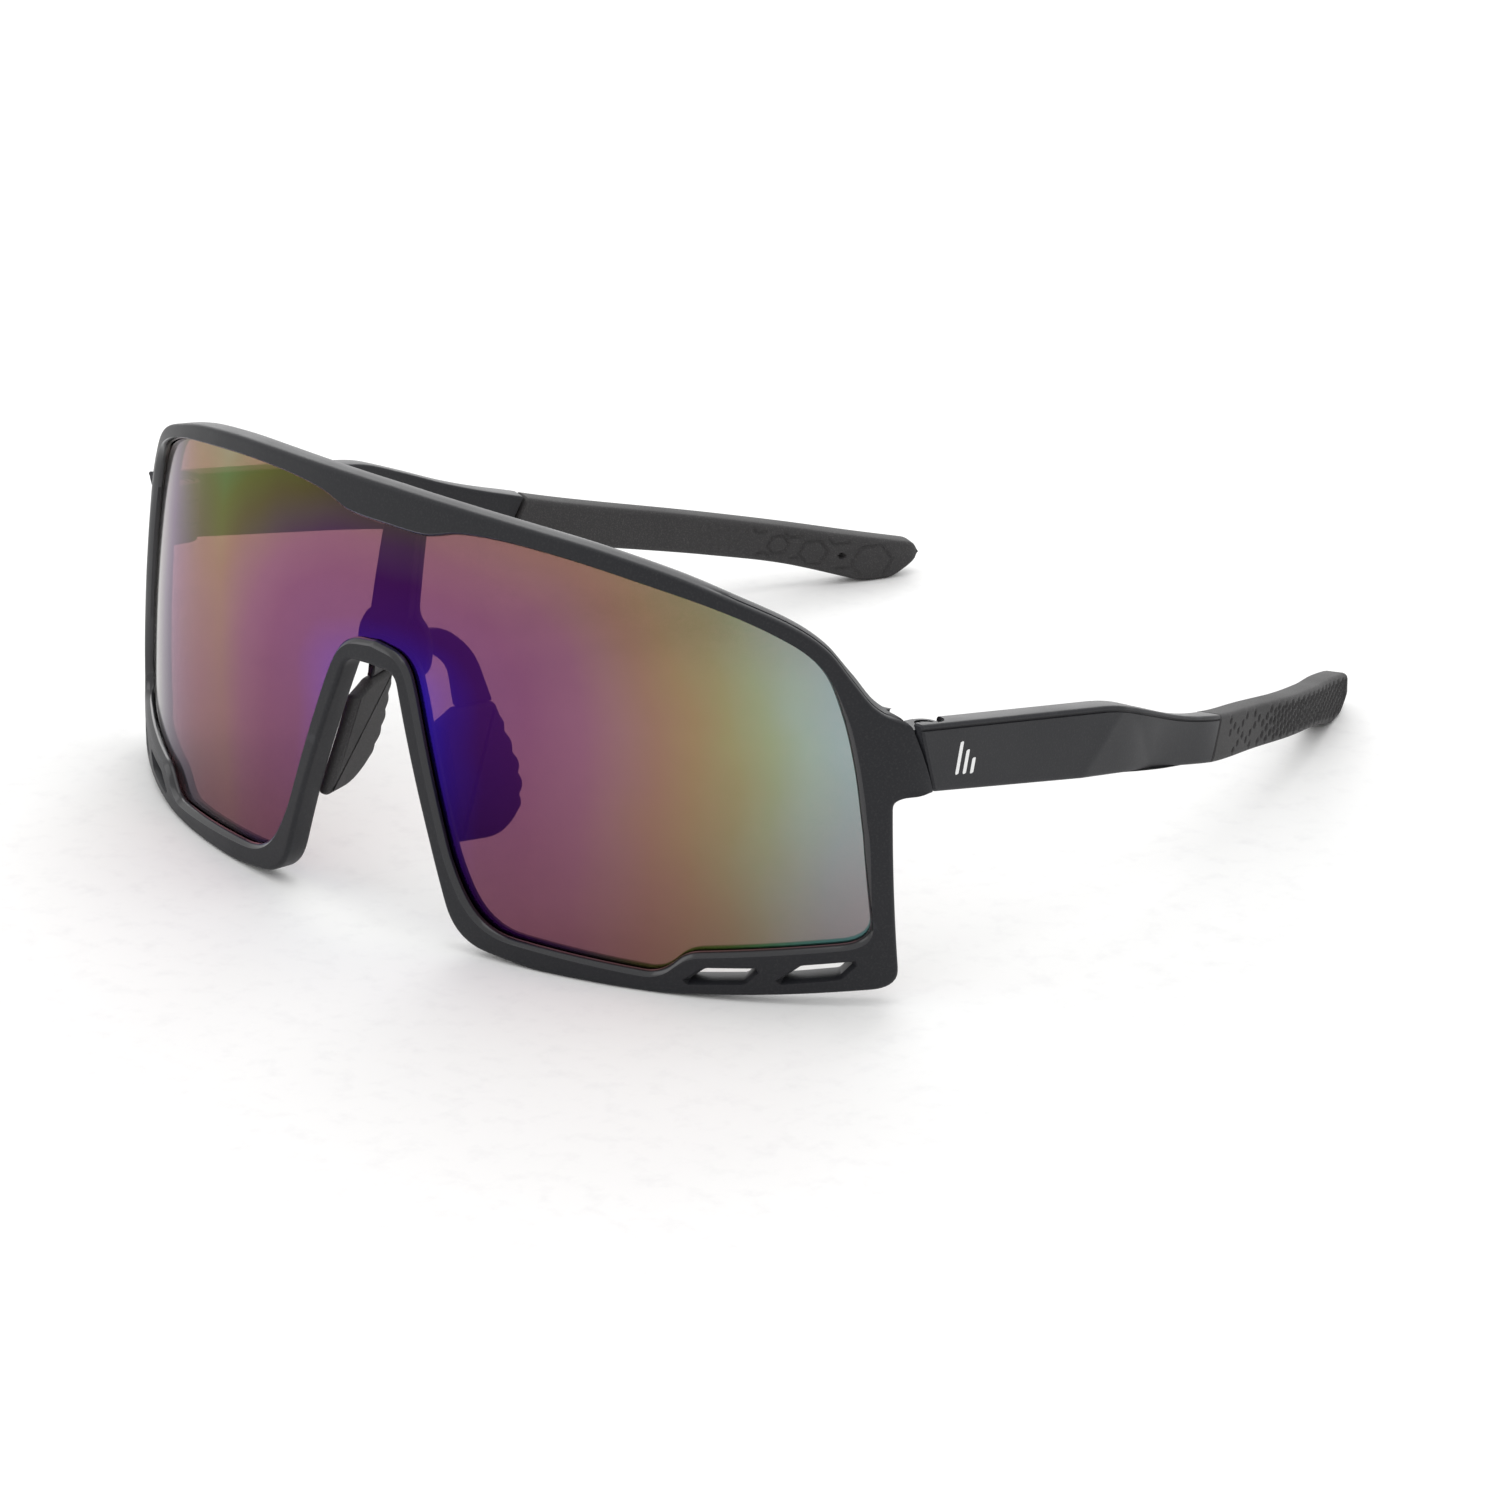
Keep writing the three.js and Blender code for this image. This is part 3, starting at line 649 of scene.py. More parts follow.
def group(name, inputs, outputs):
    """A new shader node group with named sockets."""
    tree = bpy.data.node_groups.new(name, "ShaderNodeTree")
    for socket, kind, value in inputs:
        made = tree.interface.new_socket(name=socket, in_out="INPUT", socket_type=kind)
        made.default_value = value
    for socket, kind in outputs:
        tree.interface.new_socket(name=socket, in_out="OUTPUT", socket_type=kind)
    tree.nodes.new("NodeGroupInput").name = "In"
    tree.nodes.new("NodeGroupOutput").name = "Out"
    return tree


def node(tree, kind, links=None, **settings):
    """A node with its settings and inputs, each a value or another socket."""
    made = tree.nodes.new(kind)
    for key, value in settings.items():
        setattr(made, key, value)
    for key, value in (links or {}).items():
        if isinstance(value, bpy.types.NodeSocket):
            tree.links.new(value, made.inputs[key])
        else:
            made.inputs[key].default_value = value
    return made


def math_of(tree, operation, first, second=0.0):
    """The result of a sum on two values or sockets."""
    return node(tree, "ShaderNodeMath", {0: first, 1: second}, operation=operation).outputs[0]


def ranged(tree, value, low, high, to_low=0.0, to_high=1.0):
    """A value taken from one range to another, and held within it."""
    settings = {"Value": value, "From Min": low, "From Max": high, "To Min": to_low, "To Max": to_high}
    return node(tree, "ShaderNodeMapRange", settings).outputs["Result"]


def object_place(tree):
    """The place on the object that a texture is read at."""
    return node(tree, "ShaderNodeTexCoord").outputs["Object"]


def noise(tree, place, scale, detail, **more):
    """The strength of a noise, about 0.5 on average."""
    settings = {"Vector": place, "Scale": scale, "Detail": detail, **more}
    return node(tree, "ShaderNodeTexNoise", settings).outputs["Fac"]


def moulded_grain_group():
    """Fine speckle of moulded plastic: a colour, a roughness and a normal."""
    tree = group(
        "Moulded Grain",
        [
            ("Colour", "NodeSocketColor", (0.02, 0.02, 0.02, 1)),
            ("Speck Colour", "NodeSocketColor", (0.06, 0.06, 0.06, 1)),
            ("Roughness", "NodeSocketFloat", 0.5),
            ("Roughness Change", "NodeSocketFloat", 0.1),
            ("Grain Size", "NodeSocketFloat", 0.0003),
            ("Grain Height", "NodeSocketFloat", 0.00001),
        ],
        [("Colour", "NodeSocketColor"), ("Roughness", "NodeSocketFloat"), ("Normal", "NodeSocketVector")],
    )
    given, result = tree.nodes["In"].outputs, tree.nodes["Out"].inputs
    place = object_place(tree)
    scale = math_of(tree, "DIVIDE", 1.0, given["Grain Size"])
    grain = noise(tree, place, scale, 3.0, Roughness=0.65)
    speck = ranged(tree, grain, 0.5, 0.78)
    colour = node(tree, "ShaderNodeMix", {0: speck, 6: given["Colour"], 7: given["Speck Colour"]},
                  data_type="RGBA")
    shift = math_of(tree, "SUBTRACT", noise(tree, place, 90.0, 2.0), 0.5)
    change = math_of(tree, "MULTIPLY", shift, given["Roughness Change"])
    rough = math_of(tree, "ADD", given["Roughness"], change)
    bump = node(tree, "ShaderNodeBump", {"Height": grain, "Distance": given["Grain Height"], "Strength": 1.0})
    tree.links.new(colour.outputs[2], result["Colour"])
    tree.links.new(rough, result["Roughness"])
    tree.links.new(bump.outputs["Normal"], result["Normal"])
    return tree


def edge_wear_group():
    """A mask of outer edges rubbed a little lighter."""
    tree = group(
        "Edge Wear",
        [("Amount", "NodeSocketFloat", 0.5)],
        [("Mask", "NodeSocketFloat")],
    )
    given, result = tree.nodes["In"].outputs, tree.nodes["Out"].inputs
    shape = node(tree, "ShaderNodeNewGeometry")
    place = object_place(tree)
    edge = ranged(tree, shape.outputs["Pointiness"], 0.52, 0.6)
    broken = math_of(tree, "MULTIPLY", edge, noise(tree, place, 420.0, 4.0))
    mask = node(tree, "ShaderNodeMath", {0: broken, 1: given["Amount"]}, operation="MULTIPLY", use_clamp=True)
    tree.links.new(mask.outputs[0], result["Mask"])
    return tree


def new_material(name):
    """A new material, its node tree and its shader."""
    material = bpy.data.materials.new(name)
    material.use_nodes = True
    return material, material.node_tree, material.node_tree.nodes["Principled BSDF"]


def grained_material(name, look, wear=0.35, coat=0.0, sheen=0.0, specular=0.5):
    """A moulded material: speckled, slightly uneven in gloss and rubbed at its edges."""
    material, tree, shader = new_material(name)
    grain = node(tree, "ShaderNodeGroup", node_tree=bpy.data.node_groups["Moulded Grain"])
    for key, value in look.items():
        grain.inputs[key].default_value = value
    rubbed = node(tree, "ShaderNodeGroup", node_tree=bpy.data.node_groups["Edge Wear"])
    rubbed.inputs["Amount"].default_value = wear
    mix = node(tree, "ShaderNodeMix", data_type="RGBA")
    tree.links.new(rubbed.outputs["Mask"], mix.inputs[0])
    tree.links.new(grain.outputs["Colour"], mix.inputs[6])
    mix.inputs[7].default_value = tuple(min(4 * c + 0.03, 1) for c in look["Colour"][:3]) + (1,)
    tree.links.new(mix.outputs[2], shader.inputs["Base Color"])
    tree.links.new(grain.outputs["Roughness"], shader.inputs["Roughness"])
    tree.links.new(grain.outputs["Normal"], shader.inputs["Normal"])
    shader.inputs["Coat Weight"].default_value = coat
    shader.inputs["Coat Roughness"].default_value = 0.2
    shader.inputs["Specular IOR Level"].default_value = specular
    shader.inputs["Sheen Weight"].default_value = sheen
    shader.inputs["Sheen Roughness"].default_value = 0.4
    return material


def shade(value):
    """A grey or a colour as a node's colour value."""
    return (*value, 1.0)


def mirror_material(colours):
    """The mirror coating on the front of the lens: its colour runs outwards and up from the nose, with
    painted shade low on the lens and darker towards the top.
    """
    material, tree, shader = new_material("lens_mirror")
    place = object_place(tree)
    parts = node(tree, "ShaderNodeSeparateXYZ", {0: place}).outputs
    out = math_of(tree, "DIVIDE", math_of(tree, "ABSOLUTE", parts["X"]), MM)
    up = math_of(tree, "MAXIMUM", ranged(tree, parts["Z"], 0.028, 0.058, 0.0, 42.0), 0.0)
    power, bands_end = 2.5, 70.0
    sides = math_of(tree, "ADD", math_of(tree, "POWER", out, power), math_of(tree, "POWER", up, power))
    reach = math_of(tree, "POWER", sides, 1 / power)
    facing = node(tree, "ShaderNodeLayerWeight", {"Blend": 0.5}).outputs["Facing"]
    turned_away = ranged(tree, facing, 0.15, 0.65, 0.0, 9.0)
    drift = ranged(tree, noise(tree, place, 60.0, 2.0), 0.3, 0.7, -1.2, 1.2)
    edge_on = ranged(tree, facing, 0.55, 0.78, 0.0, -30.0)
    for shift in (turned_away, math_of(tree, "ADD", edge_on, drift)):
        reach = math_of(tree, "ADD", reach, shift)
    bands = node(tree, "ShaderNodeValToRGB", {"Fac": ranged(tree, reach, 0.0, bands_end, 0.0, 1.0)})
    stops = bands.color_ramp.elements
    while len(stops) < len(colours):
        stops.new(0.5)
    for stop, (at, colour) in zip(stops, colours):
        stop.position = at / bands_end
        stop.color = shade(colour)
    # Painted shade: the mirror's colours are multiplied darker low on the lens, standing in for the shadowed
    # floor seen in and through it, and also darker towards the top
    painted_low_shade = ranged(tree, parts["Z"], 0.006, 0.034, 0.38, 0.92)
    top_fade = ranged(tree, parts["Z"], 0.042, 0.056, 1.0, 0.7)
    fade = math_of(tree, "MULTIPLY", painted_low_shade, top_fade)
    shaded_bands = node(tree, "ShaderNodeMix", {0: 1.0, 6: bands.outputs["Color"], 7: fade}, data_type="RGBA",
                 blend_type="MULTIPLY").outputs[2]
    grain = noise(tree, place, 3600.0, 2.0)
    tree.links.new(shaded_bands, shader.inputs["Base Color"])
    tree.links.new(ranged(tree, grain, 0.2, 0.8, 0.06, 0.14), shader.inputs["Roughness"])
    shader.inputs["Metallic"].default_value = 1.0
    clear = node(tree, "ShaderNodeBsdfTransparent", {"Color": shade((0.39, 0.165, 0.185))})
    cover = ranged(tree, facing, 0.62, 0.95, 0.5, 0.95)
    mix = node(tree, "ShaderNodeMixShader", {"Fac": cover})
    tree.links.new(clear.outputs[0], mix.inputs[1])
    tree.links.new(shader.outputs[0], mix.inputs[2])
    tree.links.new(mix.outputs[0], tree.nodes["Material Output"].inputs["Surface"])
    return material


def lens_body_material():
    """The bare inner face and the edge of the lens: clear and glossy, with a faint haze."""
    material, tree, shader = new_material("lens_body")
    place = object_place(tree)
    smear = noise(tree, place, 70.0, 5.0, Distortion=1.5)
    tree.links.new(ranged(tree, smear, 0.0, 1.0, 0.03, 0.1), shader.inputs["Roughness"])
    shader.inputs["Base Color"].default_value = shade((0.03, 0.018, 0.014))
    shader.inputs["Alpha"].default_value = 0.1
    shader.inputs["Coat Weight"].default_value = 0.5
    return material


def metal_material(name, colour, roughness):
    """A metal with a fine grain and an uneven sheen."""
    material, tree, shader = new_material(name)
    place = object_place(tree)
    grain = noise(tree, place, 2500.0, 3.0)
    tone = node(tree, "ShaderNodeValToRGB", {"Fac": grain})
    tone.color_ramp.elements[0].color = shade(tuple(0.7 * c for c in colour))
    tone.color_ramp.elements[1].color = shade(colour)
    rough = ranged(tree, grain, 0.0, 1.0, roughness - 0.08, roughness + 0.12)
    bump = node(tree, "ShaderNodeBump", {"Height": grain, "Distance": 0.00001})
    tree.links.new(tone.outputs["Color"], shader.inputs["Base Color"])
    tree.links.new(rough, shader.inputs["Roughness"])
    tree.links.new(bump.outputs["Normal"], shader.inputs["Normal"])
    shader.inputs["Metallic"].default_value = 1.0
    return material


# ---- What a user can change


class ShieldSizes(bpy.types.PropertyGroup):
    """Sizes of the pieces."""

    rim_depth: bpy.props.FloatProperty(
        name="Rim Depth", description="Depth of the rim from front to back", default=RIM_DEPTH * MM,
        unit="LENGTH")
    lens_thickness: bpy.props.FloatProperty(
        name="Lens Thickness", description="Thickness of the shield lens", default=0.0011, unit="LENGTH")
    arm_thickness: bpy.props.FloatProperty(
        name="Arm Thickness", description="Thickness of the folding arms", default=0.0034, unit="LENGTH")
    tip_thickness: bpy.props.FloatProperty(
        name="Tip Thickness", description="Thickness of the rubber tips", default=0.0040, unit="LENGTH")
    pad_thickness: bpy.props.FloatProperty(
        name="Pad Thickness", description="Thickness of the nose pads", default=0.0024, unit="LENGTH")
    dimple_depth: bpy.props.FloatProperty(
        name="Dimple Depth", description="Depth of the dimples on the tips", default=0.0006, unit="LENGTH")


class ShieldColours(bpy.types.PropertyGroup):
    """Colours of the finishes."""

    nylon: bpy.props.FloatVectorProperty(
        name="Nylon", description="Colour of rim and arms", default=(0.007, 0.0075, 0.0105), subtype="COLOR")
    nylon_speck: bpy.props.FloatVectorProperty(
        name="Nylon Speck", description="Colour of the specks in the nylon", default=(0.02, 0.02, 0.022),
        subtype="COLOR")
    rubber: bpy.props.FloatVectorProperty(
        name="Rubber", description="Colour of tips and nose pads", default=(0.026, 0.025, 0.026),
        subtype="COLOR")
    mark: bpy.props.FloatVectorProperty(
        name="Mark", description="Colour of the printed mark", default=(0.85, 0.85, 0.85), subtype="COLOR")
    floor: bpy.props.FloatVectorProperty(
        name="Floor", description="Colour of the floor", default=(0.955, 0.955, 0.95), subtype="COLOR")


# The mirror's colours, each with the distance from the nose in millimetres where it is reached
MIRROR_BANDS = [
    (10, (0.04, 0.02, 0.62)), (15, (0.06, 0.014, 0.34)), (20.5, (0.075, 0.01, 0.17)),
    (27, (0.085, 0.012, 0.15)), (33.5, (0.14, 0.06, 0.165)), (38.5, (0.18, 0.13, 0.13)),
    (43.5, (0.21, 0.18, 0.065)), (48, (0.23, 0.26, 0.05)), (52.5, (0.21, 0.37, 0.095)),
    (56.5, (0.2, 0.5, 0.22)), (60.5, (0.23, 0.6, 0.45)), (64, (0.23, 0.6, 0.57)),
    (70, (0.34, 0.62, 0.63)),
]


# ---- Operators


class SHIELD_OT_finishes(bpy.types.Operator):
    """Makes the finishes that the pieces share"""

    bl_idname = "shield.finishes"
    bl_label = "Finishes"

    def execute(self, context):
        colours = context.scene.shield_colours
        moulded_grain_group()
        edge_wear_group()
        nylon = {"Colour": shade(colours.nylon), "Speck Colour": shade(colours.nylon_speck),
                 "Roughness": 0.52, "Roughness Change": 0.16, "Grain Size": 0.00028, "Grain Height": 0.000014}
        grained_material("matte_nylon", nylon, sheen=0.06, specular=0.36)
        gloss = dict(nylon, **{"Roughness": 0.16, "Roughness Change": 0.08, "Grain Height": 0.000002})
        grained_material("polished_nylon", gloss, wear=0.1, coat=0.4)
        rubber = {"Colour": shade(colours.rubber), "Speck Colour": shade((0.07, 0.067, 0.067)),
                  "Roughness": 0.74, "Roughness Change": 0.2, "Grain Size": 0.0002, "Grain Height": 0.00003}
        grained_material("soft_rubber", rubber, wear=0.25)
        mark = {"Colour": shade(colours.mark), "Speck Colour": shade((0.7, 0.7, 0.7)),
                "Roughness": 0.4, "Roughness Change": 0.1, "Grain Size": 0.0002, "Grain Height": 0.000004}
        grained_material("white_print", mark, wear=0.0)
        mirror_material(MIRROR_BANDS)
        lens_body_material()
        metal_material("blackened_steel", (0.12, 0.12, 0.125), 0.35)
        metal_material("turned_brass", (0.62, 0.45, 0.2), 0.3)
        return {"FINISHED"}


class SHIELD_OT_front_frame(bpy.types.Operator):
    """Builds the rim with its vents, corners and hinge barrels"""

    bl_idname = "shield.front_frame"
    bl_label = "Front Frame"

    def execute(self, context):
        depth = context.scene.shield_sizes.rim_depth / MM
        nylon, gloss = bpy.data.materials["matte_nylon"], bpy.data.materials["polished_nylon"]
        rings = rim_rings(depth)
        along = np.zeros(rings.shape[1], int)
        along[GLOSS_FROM:] = 1
        rim = ring_piece("rim", rings, [nylon, gloss], loop=True, along=along)
        for side, _ in SIDES:
            for vent in VENTS:
                cut(rim, side(vent_rings(vent)), nylon)
            cut(rim, side(arm_space_rings()), nylon)
            cut(rim, side(turned(bar_profile(BARREL + BARREL_GAP, -4.5, FAR))), nylon)
            for low, high in RIM_BARRELS:
                add(rim, side(block((-BARREL, -3.7, low), (1.5, 0, high))), nylon)
                add(rim, side(turned(bar_profile(BARREL, low, high))), nylon)
            cut(rim, side(turned([(BORE, -FAR), (BORE, 3.2), (HEAD_BORE, 3.2), (HEAD_BORE, FAR)])), nylon)
            cut(rim, side(turned([(INSERT_SEAT, -4.0), (INSERT_SEAT, -2.0)])), nylon)
        finish_piece(rim, "front", "frame_nylon", "front_frame")
        return {"FINISHED"}


class SHIELD_OT_lens(bpy.types.Operator):
    """Builds the one-piece mirror lens"""

    bl_idname = "shield.lens"
    bl_label = "Shield Lens"

    def execute(self, context):
        thickness = context.scene.shield_sizes.lens_thickness / MM
        half = opening_half()
        outline = np.vstack([half, half[1:-1][::-1] * (-1, 1)])
        edge = grown(resampled(outline, 1600, closed=True), GROOVE_REACH - FIT_GAP)
        right = edge[edge[:, 0] >= 0]
        split = int(np.argmax(right[:, 0]))
        top, low = right[: split + 1], right[split:][::-1]
        low = low[np.argsort(low[:, 0], kind="stable")]
        top = top[np.argsort(top[:, 0], kind="stable")]
        reach = right[:, 0].max()
        dense = np.concatenate([top[:, 0], low[:, 0], [0, reach]])
        columns = np.unique(np.round(dense, 1))
        columns = np.concatenate([-columns[::-1][:-1], columns])
        rows = np.linspace(0, 1, 33)
        low_z = np.interp(np.abs(columns), low[:, 0], low[:, 1])
        top_z = np.maximum(np.interp(np.abs(columns), top[:, 0], top[:, 1]), low_z + 0.05)
        x = np.repeat(columns[:, None], len(rows), axis=1)
        z = low_z[:, None] + (top_z - low_z)[:, None] * rows[None, :]
        front = GROOVE_FROM + 0.2
        sheets = [behind(x, z, front + depth) for depth in (0, thickness)]
        count, height = x.shape
        points = np.concatenate([sheet.reshape(-1, 3) for sheet in sheets])
        faces, indices = [], []

        def at(sheet, c, r):
            return sheet * count * height + c * height + r

        for sheet in (0, 1):
            for c in range(count - 1):
                for r in range(height - 1):
                    corners = ((c, r), (c + 1, r), (c + 1, r + 1), (c, r + 1))
                    faces.append(tuple(at(sheet, *corner) for corner in corners))
                    indices.append(sheet)
        rim = [(c, 0) for c in range(count - 1)] + [(count - 1, r) for r in range(height - 1)]
        rim += [(c, height - 1) for c in range(count - 1, 0, -1)] + [(0, r) for r in range(height - 1, 0, -1)]
        for here, there in zip(rim, rim[1:] + rim[:1]):
            faces.append((at(0, *here), at(0, *there), at(1, *there), at(1, *here)))
            indices.append(1)
        materials = [bpy.data.materials["lens_mirror"], bpy.data.materials["lens_body"]]
        lens = new_piece("lens", points, faces, materials, indices)
        finish_piece(lens, "front", "mirror_lens", "shield_lens")
        return {"FINISHED"}


class SHIELD_OT_nose(bpy.types.Operator):
    """Builds the bridge bar behind the lens and the two nose pads"""

    bl_idname = "shield.nose"
    bl_label = "Nose Pieces"

    def execute(self, context):
        nylon, rubber = bpy.data.materials["matte_nylon"], bpy.data.materials["soft_rubber"]
        thickness = context.scene.shield_sizes.pad_thickness / MM
        depth = context.scene.shield_sizes.rim_depth / MM + FIT_GAP
        strut = [(-3.0, 52.6, 0.2), (-3.6, 40, 2), (-3.6, 38.9, 0.2)]
        strut += [(-a, b, r) for a, b, r in strut[::-1]]
        back = [(3, 55.9, 0.6), (3.6, 41.4, 1.2), (5.4, 40.2, 0.8), (6.8, 38, 1.4), (6.6, 34.4, 1.2),
                (5.2, 33.4, 0.4), (4.4, 35.2, 0.6)]
        back += [(-a, b, r) for a, b, r in back[::-1]]
        strut_line = resampled(rounded(strut), 90, closed=True)
        back_line = resampled(rounded(back), 180, closed=True)
        front = slab_rings(strut_line, behind, GROOVE_TO + 0.1, depth + 0.5, 0.3)
        bar = ring_piece("bridge_strut", front, [nylon])
        add(bar, slab_rings(back_line, behind, depth, depth + 1.3, 0.4), nylon)
        wing_line = resampled(rounded(WING), 120, closed=True)
        wing = np.array(slab_rings(wing_line, on_pad, 0.6, thickness - 0.6, 0.4))
        for side, _ in SIDES:
            add(bar, side(wing), nylon)
        finish_piece(bar, "front", "frame_nylon", "bridge_bar")
        rings = np.array(slab_rings(pad_outline(), on_pad, 0.0, thickness, 1.0, steps=6))
        for side, word in SIDES:
            pad = ring_piece("nose_rubber_" + word, side(rings), [rubber])
            finish_piece(pad, "front", "rubber", "nose_pad_" + word)
        return {"FINISHED"}


class SHIELD_OT_arms(bpy.types.Operator):
    """Builds the two folding arms with their facets and hinge barrels"""

    bl_idname = "shield.arms"
    bl_label = "Arms"

    def execute(self, context):
        nylon = bpy.data.materials["matte_nylon"]
        thickness = context.scene.shield_sizes.arm_thickness / MM
        profile = arm_profile(thickness, 0.45, 16, step=0.3)
        stations = np.concatenate([[0, 0.004], np.linspace(0.008, 0.992, 150), [0.996, 1]])
        clear = BARREL + BARREL_GAP
        rings = arm_rings(profile, thickness, stations,
                          lambda z: joint_y(z) + FIT_GAP, lambda z: tip_y(z) - FIT_GAP / 2,
                          ARM_TOP, ARM_BOTTOM, arm_relief)
        for side, word in SIDES:
            arm = ring_piece("arm_" + word, side(rings), [nylon])
            cut(arm, side(turned(bar_profile(clear, -FAR, FAR))), nylon)
            cut(arm, side(block((-9, -9, -FAR), (clear - 0.6, 0, FAR))), nylon)
            add(arm, side(block((-0.2, 0, -ARM_BARREL), (2.6, clear + 1, ARM_BARREL))), nylon)
            add(arm, side(turned(bar_profile(BARREL, -ARM_BARREL, ARM_BARREL))), nylon)
            cut(arm, side(turned([(BORE, -FAR), (BORE, FAR)])), nylon)
            finish_piece(arm, word + "_temple", "frame_nylon", "temple_arm_" + word)
        return {"FINISHED"}


class SHIELD_OT_tips(bpy.types.Operator):
    """Builds the two rubber tips, dimpled outside and engraved inside"""

    bl_idname = "shield.tips"
    bl_label = "Rubber Tips"

    def execute(self, context):
        sizes = context.scene.shield_sizes
        thickness = sizes.tip_thickness / MM
        profile = arm_profile(thickness, 0.8, 30)
        stations = np.concatenate([[0, 0.004], np.linspace(0.008, 0.99, 250), [0.995, 1]])
        rings = arm_rings(profile, thickness, stations,
                          lambda z: tip_y(z) + FIT_GAP / 2, lambda z: TIP_END + 0 * z,
                          TIP_TOP, TIP_BOTTOM, tip_relief(sizes.dimple_depth / MM), tip_taper, ends=(0.3, 0))
        for side, word in SIDES:
            tip = ring_piece("tip_" + word, side(rings), [bpy.data.materials["soft_rubber"]])
            finish_piece(tip, word + "_temple", "rubber", "temple_tip_" + word)
        return {"FINISHED"}


class SHIELD_OT_screws(bpy.types.Operator):
    """Builds the hinge screws and finishes their brass inserts"""

    bl_idname = "shield.screws"
    bl_label = "Hinge Screws"

    def execute(self, context):
        steel, brass = bpy.data.materials["blackened_steel"], bpy.data.materials["turned_brass"]
        outline = [(0.0, -4.0), (0.6, -4.0), (0.7, -3.9), (0.7, 3.3), (1.2, 3.3), (1.25, 3.38), (1.25, 3.85),
                   (1.05, 4.05), (0.0, 4.1)]
        for side, word in SIDES:
            screw = ring_piece("screw_" + word, side(turned(outline)), [steel])
            cut(screw, side(block((-3, -0.18, 3.72), (3, 0.18, 6))), steel)
            finish_piece(screw, "front", "screw_steel", "hinge_screw_" + word)
            insert = frame["nodes"]["hinge_insert_" + word]
            insert.data.materials.clear()
            insert.data.materials.append(brass)
        return {"FINISHED"}


class SHIELD_OT_marks(bpy.types.Operator):
    """Prints a small plain mark of slanted bars on each arm"""

    bl_idname = "shield.marks"
    bl_label = "Marks"

    def execute(self, context):
        white = bpy.data.materials["white_print"]
        film, first, gap, wide = 0.05, 34.2, 1.4, 0.65

        def on_arm(a, b, c):
            return np.stack([HALF_WIDTH - 0.02 + c, a, b], axis=-1)

        for side, word in SIDES:
            for number, height in enumerate((4.2, 3.1, 2.0)):
                y = first + gap * number
                low = 29.5 - 0.21 * (y - first)
                lean = 0.25 * height
                bar = [(y, low, 0.2), (y + wide, low, 0.2), (y + wide + lean, low + height, 0.2),
                       (y + lean, low + height, 0.2)]
                outline = resampled(rounded(bar, steps=4), 40, closed=True)
                rings = slab_rings(outline, on_arm, 0, film, 0.03, steps=2)
                mark = ring_piece(f"mark_{word}_{number + 1}", side(rings), [white])
                finish_piece(mark, word + "_temple", "frame_nylon")
        return {"FINISHED"}


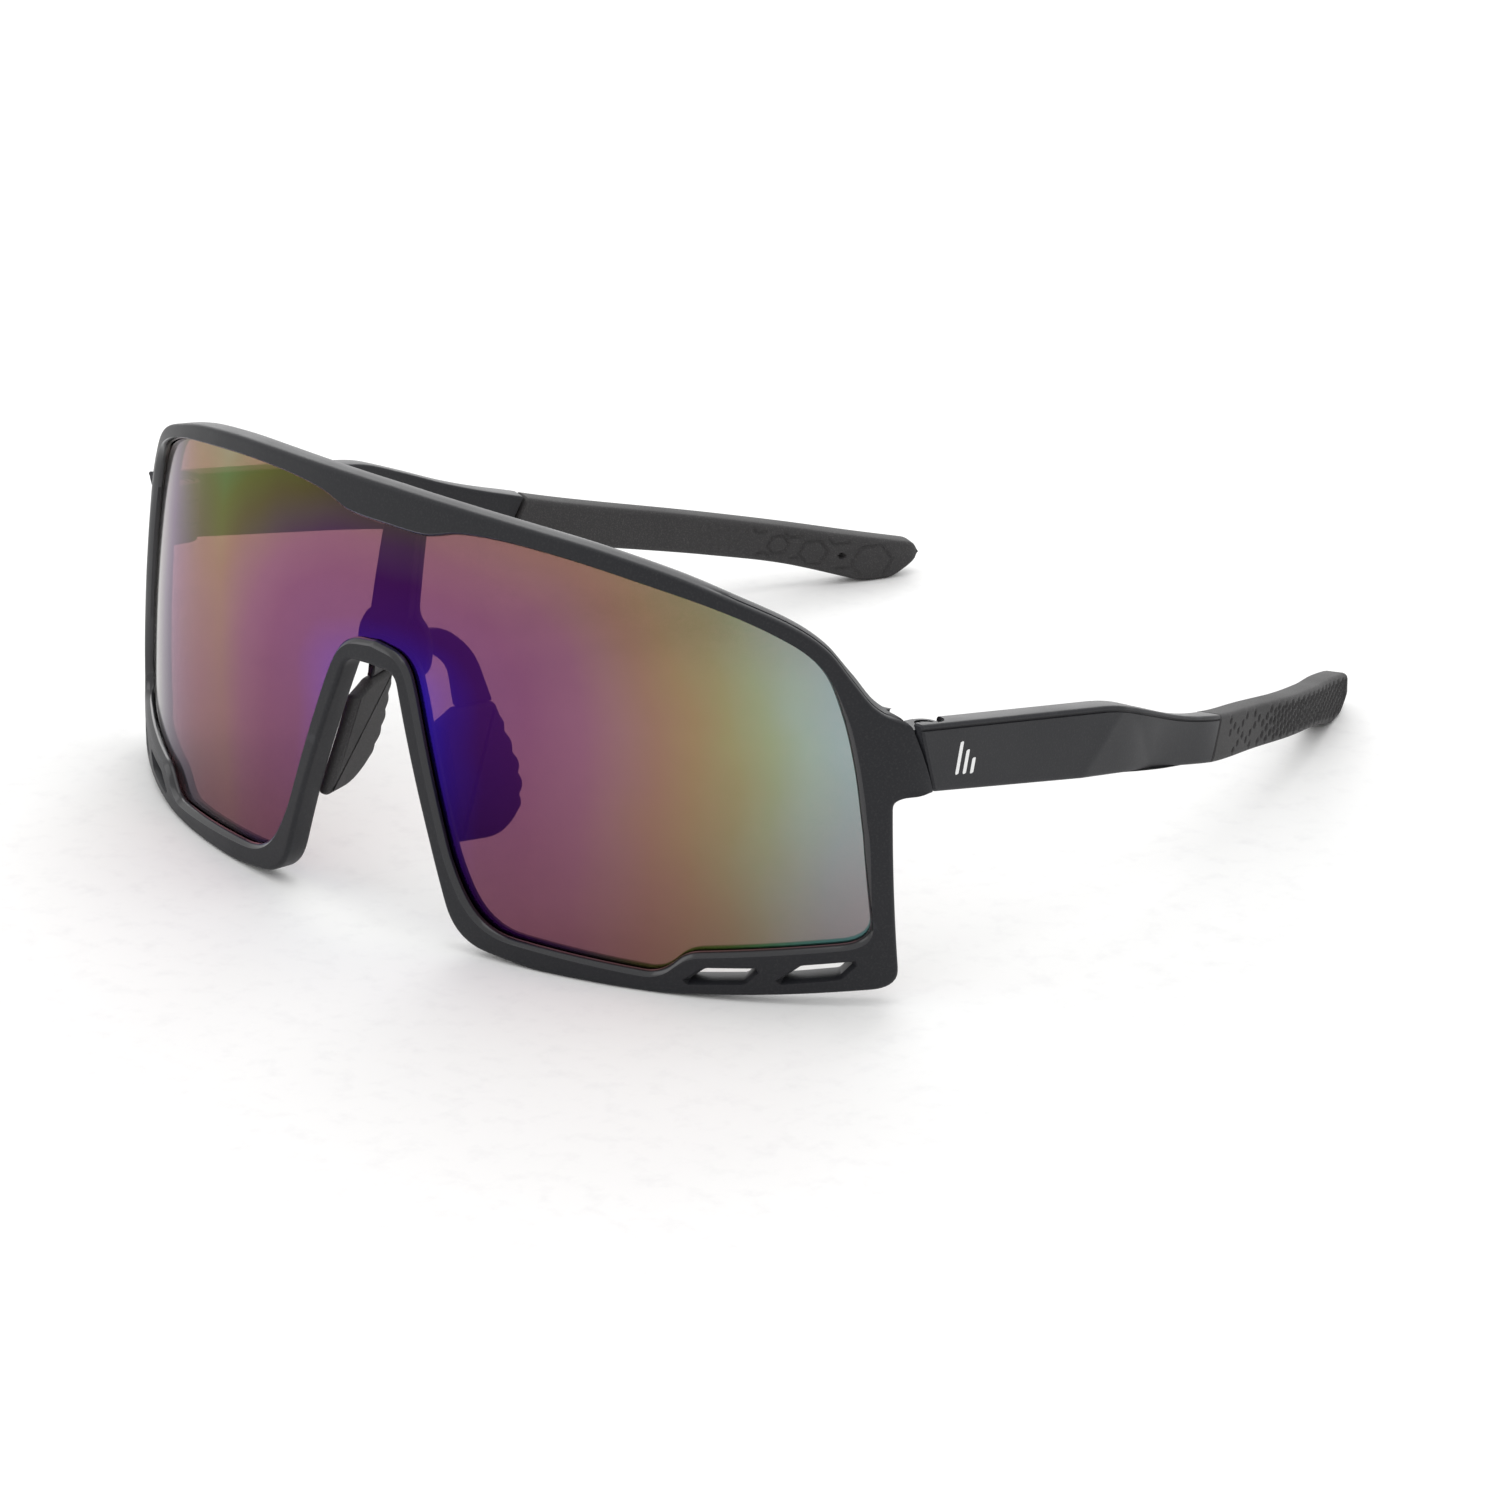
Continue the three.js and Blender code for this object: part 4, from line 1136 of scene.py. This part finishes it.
class SHIELD_OT_stage(bpy.types.Operator):
    """Makes the floor, the soft lights and the camera"""

    bl_idname = "shield.stage"
    bl_label = "Stage"

    def execute(self, context):
        scene = context.scene
        bpy.ops.mesh.primitive_plane_add(size=6)
        floor = context.active_object
        floor.name = "floor"
        look = {"Colour": shade(scene.shield_colours.floor), "Speck Colour": shade((0.9, 0.9, 0.9)),
                "Roughness": 0.85, "Roughness Change": 0.1, "Grain Size": 0.004, "Grain Height": 0.00001}
        floor.data.materials.append(grained_material("pale_floor", look, wear=0.0))
        world = bpy.data.worlds.new("studio")
        scene.world = world
        world.use_nodes = True
        world.node_tree.nodes["Background"].inputs["Color"].default_value = (1, 1, 1, 1)
        world.node_tree.nodes["Background"].inputs["Strength"].default_value = 0.86
        for name, place, size, power in (
            ("top_light", (0.1, 0.2, 1.3), 1.0, 3.0),
            ("back_light", (-1.0, 1.1, 0.62), 1.3, 13.0),
            ("side_light", (-0.9, -0.6, 0.8), 0.8, 1.5),
        ):
            light = bpy.data.lights.new(name, "AREA")
            light.size = size
            light.energy = power
            lamp = bpy.data.objects.new(name, light)
            scene.collection.objects.link(lamp)
            lamp.location = place
            lamp.rotation_euler = (-Vector(place)).to_track_quat("-Z", "Y").to_euler()
        azimuth, elevation = math.radians(43.6), math.radians(20.8)
        forward = Vector((-math.sin(azimuth) * math.cos(elevation), math.cos(azimuth) * math.cos(elevation),
                          -math.sin(elevation)))
        lens = bpy.data.cameras.new("camera")
        lens.sensor_width = 36.0
        lens.lens = 192.0
        camera = bpy.data.objects.new("camera", lens)
        scene.collection.objects.link(camera)
        camera.location = to_row([(706.9, -670.0, 392.9)])[0]
        camera.rotation_euler = forward.to_track_quat("-Z", "Y").to_euler()
        scene.camera = camera
        scene.view_settings.view_transform = "Standard"
        return {"FINISHED"}


class SHIELD_PT_panel(bpy.types.Panel):
    """Lists the steps and what can be changed"""

    bl_idname = "SHIELD_PT_panel"
    bl_label = "Shield Glasses"
    bl_space_type = "VIEW_3D"
    bl_region_type = "UI"
    bl_category = "Shield Glasses"

    def draw(self, context):
        for settings in (context.scene.shield_sizes, context.scene.shield_colours):
            for key in settings.__annotations__:
                self.layout.prop(settings, key)
        for step in STEPS:
            self.layout.operator(step.bl_idname)


SETTINGS = (ShieldSizes, ShieldColours)
STEPS = (
    SHIELD_OT_finishes,
    SHIELD_OT_stage,
    SHIELD_OT_front_frame,
    SHIELD_OT_lens,
    SHIELD_OT_nose,
    SHIELD_OT_arms,
    SHIELD_OT_tips,
    SHIELD_OT_screws,
    SHIELD_OT_marks,
)


def register():
    for made in (*SETTINGS, *STEPS, SHIELD_PT_panel):
        bpy.utils.register_class(made)
    bpy.types.Scene.shield_sizes = bpy.props.PointerProperty(type=ShieldSizes)
    bpy.types.Scene.shield_colours = bpy.props.PointerProperty(type=ShieldColours)


def unregister():
    del bpy.types.Scene.shield_colours
    del bpy.types.Scene.shield_sizes
    for made in reversed((*SETTINGS, *STEPS, SHIELD_PT_panel)):
        bpy.utils.unregister_class(made)


def main():
    register()
    for step in STEPS:
        family, action = step.bl_idname.split(".")
        getattr(getattr(bpy.ops, family), action)()


if __name__ == "__main__":
    main()
